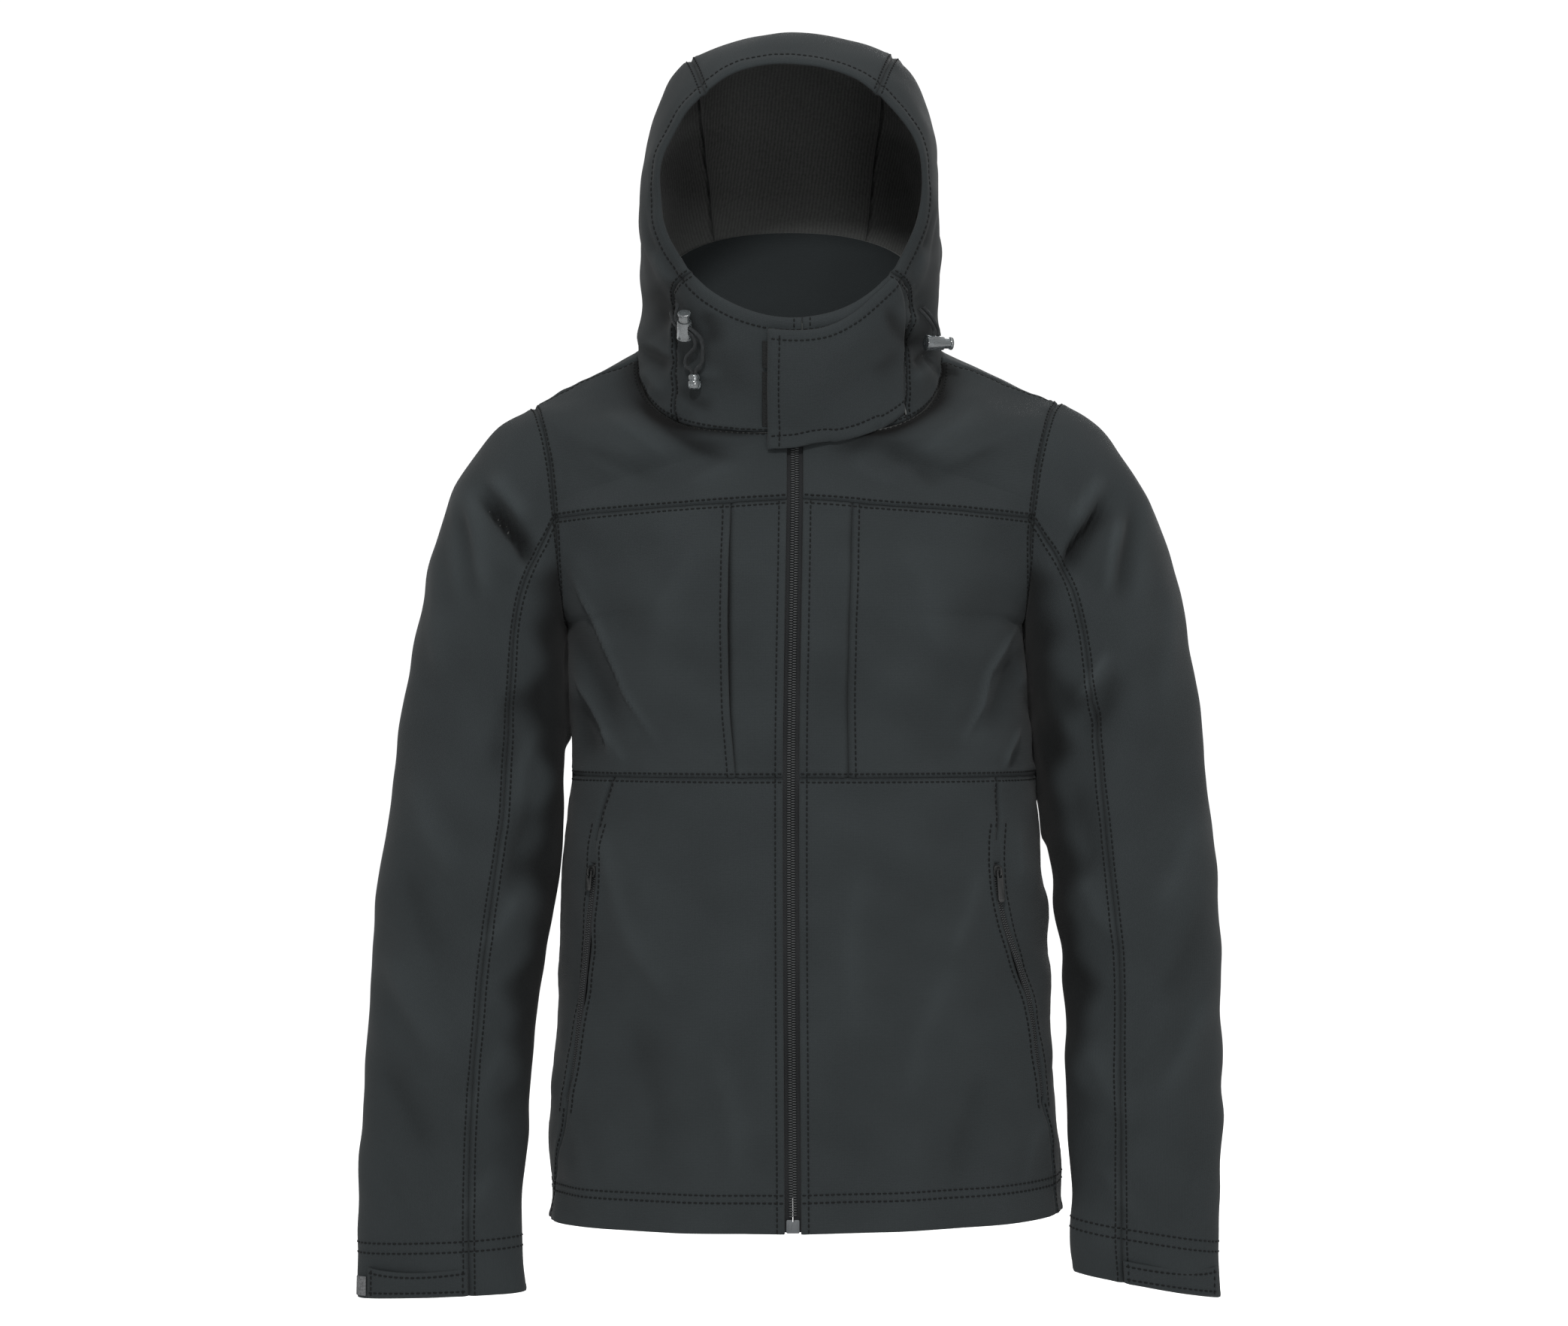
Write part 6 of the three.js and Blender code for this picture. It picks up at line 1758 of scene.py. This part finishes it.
def seat(name, parts, place, material, node, body="jacket"):
    """Joins the shapes of one hard part, places it and puts it on its node."""
    bpy.ops.object.select_all(action="DESELECT")
    for part in parts:
        part.select_set(True)
    bpy.context.view_layer.objects.active = parts[0]
    if len(parts) > 1:
        bpy.ops.object.join()
    made = parts[0]
    made.name = made.data.name = name
    made.data.transform(place)
    made.data.materials.clear()
    made.data.materials.append(material)
    bpy.ops.object.select_all(action="DESELECT")
    made.select_set(True)
    bpy.ops.object.shade_smooth_by_angle(angle=math.radians(32))
    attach(made, body)
    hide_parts(node)


PULL_AXIS_HEIGHT = 3.4
SLIDER_OUTLINE = [
    (-2.6, -4.6), (2.6, -4.6), (4, -1.5), (4, 2.6), (2.8, 4.4), (-2.8, 4.4), (-4, 2.6), (-4, -1.5),
]
ARCH_OUTLINE = [
    (-3.6, 1.5), (-3.6, 4.4), (-2.9, 5.3), (-1.8, 5.6), (1.8, 5.6), (2.9, 5.3), (3.6, 4.4), (3.6, 1.5),
    (2.2, 1.5), (2.2, 4.1), (1.6, 4.7), (-1.6, 4.7), (-2.2, 4.1), (-2.2, 1.5),
]


def slider(name, place, material):
    """Die-cast zip slider: a waisted plate with side rails and an arch for the pull."""
    plate = soften(prism(SLIDER_OUTLINE, 1.5, 0.2), 0.35)
    rails = [slab((0.8, 4.6, 0.6), (sign * 3.3, 0.4, 1.75), 0.2) for sign in (-1, 1)]
    arch = prism(ARCH_OUTLINE, 1.8, -0.9, turned=True)
    seat(name + "_body", [plate, soften(arch, 0.25), *rails], place, material, name)


def pull(name, length, place, material, body):
    """Flat moulded pull tab: a window for the arch and grip bars near the end."""
    outline = [(-3, 0.6), (3, 0.6), (3.3, 2 - length), (2.2, -length), (-2.2, -length), (-3.3, 2 - length)]
    plate = cut_away(prism(outline, 1.2, -0.6), slab((2.9, 4.6, 3), (0, -3, 0)))
    soften(plate, 0.28)
    bars = [slab((3.6, 0.7, 0.4), (0, 2.4 + 1.3 * k - length, 0.62), 0.15) for k in range(4)]
    seat(name + "_tab", [plate, *bars], place, material, name, body)


def pocket_hardware(side, word, length):
    """Slider and hinged pull at the top of a slanted pocket's zip."""
    skin = FRONT[side]
    v = low_row(-410)
    u = pocket_seam_share(side, v)
    above, below = v + 0.03, v - 0.05
    up = skin.at(pocket_seam_share(side, above), above) - skin.at(pocket_seam_share(side, below), below)
    out = skin.normal(u, v)
    base = skin.at(u, v) + out * 2.0
    slider(f"pocket_slider_{word}", frame_of(base, up, out), BLACK)
    axis = frame_of(base + out * PULL_AXIS_HEIGHT, up, out)
    pull(f"pocket_pull_{word}", length, axis, BLACK, f"{word}_pocket_pull")


def front_hardware():
    """Slider and pull at the top of the front zip, and the box at its lower end."""
    base, above, below = (zip_row(q, 0.001, -1.55)[0] for q in (1.8, 1.84, 1.7))
    up = above - below
    out = HOOD_SKIN.normal(0.1, 0.2)
    slider("zip_slider", frame_of(base, up, out), COIL)
    pull("zip_pull", 14, frame_of(base + out * PULL_AXIS_HEIGHT, up, out), COIL, "jacket")
    outline = [
        (-4.4, -5.2), (4.4, -5.2), (5.2, -4.4), (5.2, 4.4), (4.4, 5.2), (1, 5.2), (0.6, 3.4), (-0.2, 3.4),
        (-0.6, 5.2), (-4.4, 5.2), (-5.2, 4.4), (-5.2, -4.4),
    ]
    box = soften(prism(outline, 2.3), 0.3)
    rim = [slab((0.7, 9.4, 0.5), (x, 0, 2.35), 0.18) for x in (-4.5, 4.5)]
    pin = slab((2.2, 7.6, 0.5), (-2.2, 0.4, 2.3), 0.2)
    origin = np.array([read(ZIP_X, HEM_Z)[0], read(CENTRE_Y, HEM_Z)[0] + 2.9, HEM_Z + 5.8])
    place = frame_of(origin, np.array([0, 0, 1.0]), np.array([0, -1.0, 0]))
    seat("zip_end_box_body", [box, pin, *rim], place, GREY, "zip_end_box")


def cord_lock(word, centre, along, bore):
    """Clear cord lock: a tapered barrel, a flanged button and a coil spring, pierced for two strands."""
    place = axes_of(centre, along, bore, np.cross(along, bore))
    hole = (7.2, 30, 3.6)
    body = cut_away(barrel(6.2, 5.5, -9, 6, 0.5), barrel(4.6, 4.6, -8, 9), slab(hole, (0, 0, 0)))
    foot = cut_away(barrel(6.25, 6.25, -9, -7.6, 0.4), barrel(4.6, 4.6, -8, 9))
    button = cut_away(barrel(4.2, 4.2, -3.6, 12.4, 0.3), barrel(2.6, 2.6, 4.4, 11), slab(hole, (0, 0, 0)))
    cap = barrel(4.9, 5.2, 11.2, 13.4, 0.5)
    lock, plunger = f"cord_lock_{word}", f"lock_plunger_{word}"
    seat(f"{lock}_barrel", [body, foot], place, CLEAR, lock)
    seat(f"{plunger}_button", [button, cap], place, CLEAR, plunger)
    turns = np.linspace(0, 4, 97)
    angles = 2 * math.pi * turns
    coil = np.stack([-7.5 + 0.85 * turns, 3.5 * np.cos(angles), 3.5 * np.sin(angles)], axis=-1)
    spring = round_wire(f"lock_spring_{word}", [place @ Vector(p) for p in coil], 0.32, 3, STEEL)
    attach(spring, "jacket")


def cord_end(centre, across, down):
    """Clear end bead in two halves: a deeper cup, a groove and a cap, with one hole for both strands."""
    profile = [
        (0, -5.7), (3.3, -5.7), (4.4, -4.9), (4.85, -3.2), (4.9, -0.4), (4.5, 0.5), (3.9, 0.9), (3.9, 1.3),
        (4.3, 1.7), (4.4, CLOTH_STEP), (3.8, 5.3), (2.8, 5.7), (0, 5.7),
    ]
    mesh = bpy.data.meshes.new("bead")
    mesh.from_pydata([(x, y, 0) for x, y in profile], [(k, k + 1) for k in range(len(profile) - 1)], [])
    bead = put("bead", mesh)
    use_modifier(bead, "SCREW", axis="Y", steps=40, render_steps=40, use_merge_vertices=True,
                 merge_threshold=0.01, use_normal_calculate=True)
    fix_outside(bead)
    cut_away(bead, slab((7, 7.2, 3.5), (0, 2.6, 0)))
    place = axes_of(centre, across, -down, np.cross(across, -down))
    seat("cord_end_right_bead", [bead], place, CLEAR, "cord_end_right")


# Rows of topstitching that show: piece, edge, distances in mm from it, and the share of it that is sewn
HEM_ROWS = (24, 30)
CUFF_ROWS = (36, 44)
SIDE_SEAMS = {
    "front_topstitching": [
        ("lower_front", "u0", (5.7,)), ("lower_front", "v0", HEM_ROWS), ("lower_front", "v1", (3.2,)),
        ("lower_front", "u1", (2.6,), 0.86, 1), ("lower_front", "u1", (7.4,), 0.27, 0.86),
        ("lower_side", "u0", (7.4,), 0.27, 0.86), ("lower_side", "u0", (2.6,), 0, 0.27),
        ("lower_side", "v0", HEM_ROWS), ("lower_side", "v1", (3.2,)),
        ("centre_strip", "u0", (5.7,)), ("centre_strip", "v0", (3.2,)), ("centre_strip", "v1", (3.2,)),
        ("chest_front", "u0", (5.6,)), ("chest_front", "v0", (3.2,)), ("chest_front", "v1", (3.2,)),
        ("chest_front", "u1", (3.0,), 0.56, 1),
        ("front_yoke", "v0", (3.2,)), ("front_yoke", "v1", (3.2,)), ("front_yoke", "u1", (3.0,)),
        ("front_yoke", "u0", (3.2,), 0.34, 1),
    ],
    "sleeve_topstitching": [
        ("top_sleeve", "v0", (3.0,)), ("under_sleeve", "v0", (3.0,)),
        ("top_sleeve", "u0", (4.4,)), ("top_sleeve", "u1", (4.4,)),
        ("under_sleeve", "u0", (4.4,)), ("under_sleeve", "u1", (4.4,)),
        ("top_sleeve", "v1", CUFF_ROWS), ("under_sleeve", "v1", CUFF_ROWS),
        ("cuff_tab", "u0", (3.4,), 0.04, 0.96), ("cuff_tab", "u1", (3.4,), 0.04, 0.96),
        ("cuff_tab", "v0", (3.4,), 0.04, 0.96), ("cuff_tab", "v1", (3.4,), 0.04, 0.96),
    ],
    "hood_topstitching": [
        ("hood_chin", "v0", (10,)), ("hood_chin", "u0", (5.7,)),
        ("hood_chin", "u1", (3.0,)), ("hood_chin", "v1", (3.2,)),
        ("hood_side", "v0", (10,)), ("hood_side", "u0", (3.0,)),
        ("hood_side", "u1", (3.4,)), ("hood_side", "v1", (3.2,)),
    ],
}
MIDDLE_SEAMS = {
    "hood_topstitching": [
        ("hood_centre", "v0", (10,)), ("hood_centre", "u0", (3.4,)), ("hood_centre", "u1", (3.4,)),
        ("hood_centre", "v1", (3.2,)), ("chin_flap", "u0", (9.0,), 0.05, 0.98),
        ("chin_flap", "v1", (9.0,), 0.05, 0.98), ("chin_flap", "v0", (7.5,), 0.05, 0.98),
    ],
    "back_topstitching": [
        ("back_body", "v0", HEM_ROWS), ("back_body", "v1", (3.2,)),
        ("back_body", "u0", (3.0,), 0.8, 1), ("back_body", "u1", (3.0,), 0.8, 1),
        ("back_yoke", "v0", (3.2,)), ("back_yoke", "u0", (3.0,)), ("back_yoke", "u1", (3.0,)),
    ],
}


def sew_seams():
    """Sews the rows of both sides and then those of the middle pieces."""
    for table, ending in (
        (SIDE_SEAMS, "_right_cloth"), (SIDE_SEAMS, "_left_cloth"), (MIDDLE_SEAMS, "_cloth"),
    ):
        for group, rows in table.items():
            for piece, *rest in rows:
                topstitch(group, piece + ending, *rest)


set_camera()
set_studio()
for side, word, pull_length in ((-1, "right", 15), (1, "left", 24)):
    front_pieces(side, word)
    sleeve_pieces(side, word)
    pocket_zip(side, word)
    pocket_hardware(side, word, pull_length)
back_body()
back_yoke()
hood_pieces()
chin_flap()
front_zip()
front_hardware()
lock_place, lock_along, lock_bore, bead_place, bead_across, bead_down = right_cords()
cord_lock("right", lock_place, lock_along, lock_bore)
cord_end(bead_place, bead_across, bead_down)
cord_lock("left", *left_cords())
sew_seams()
make_stitches()
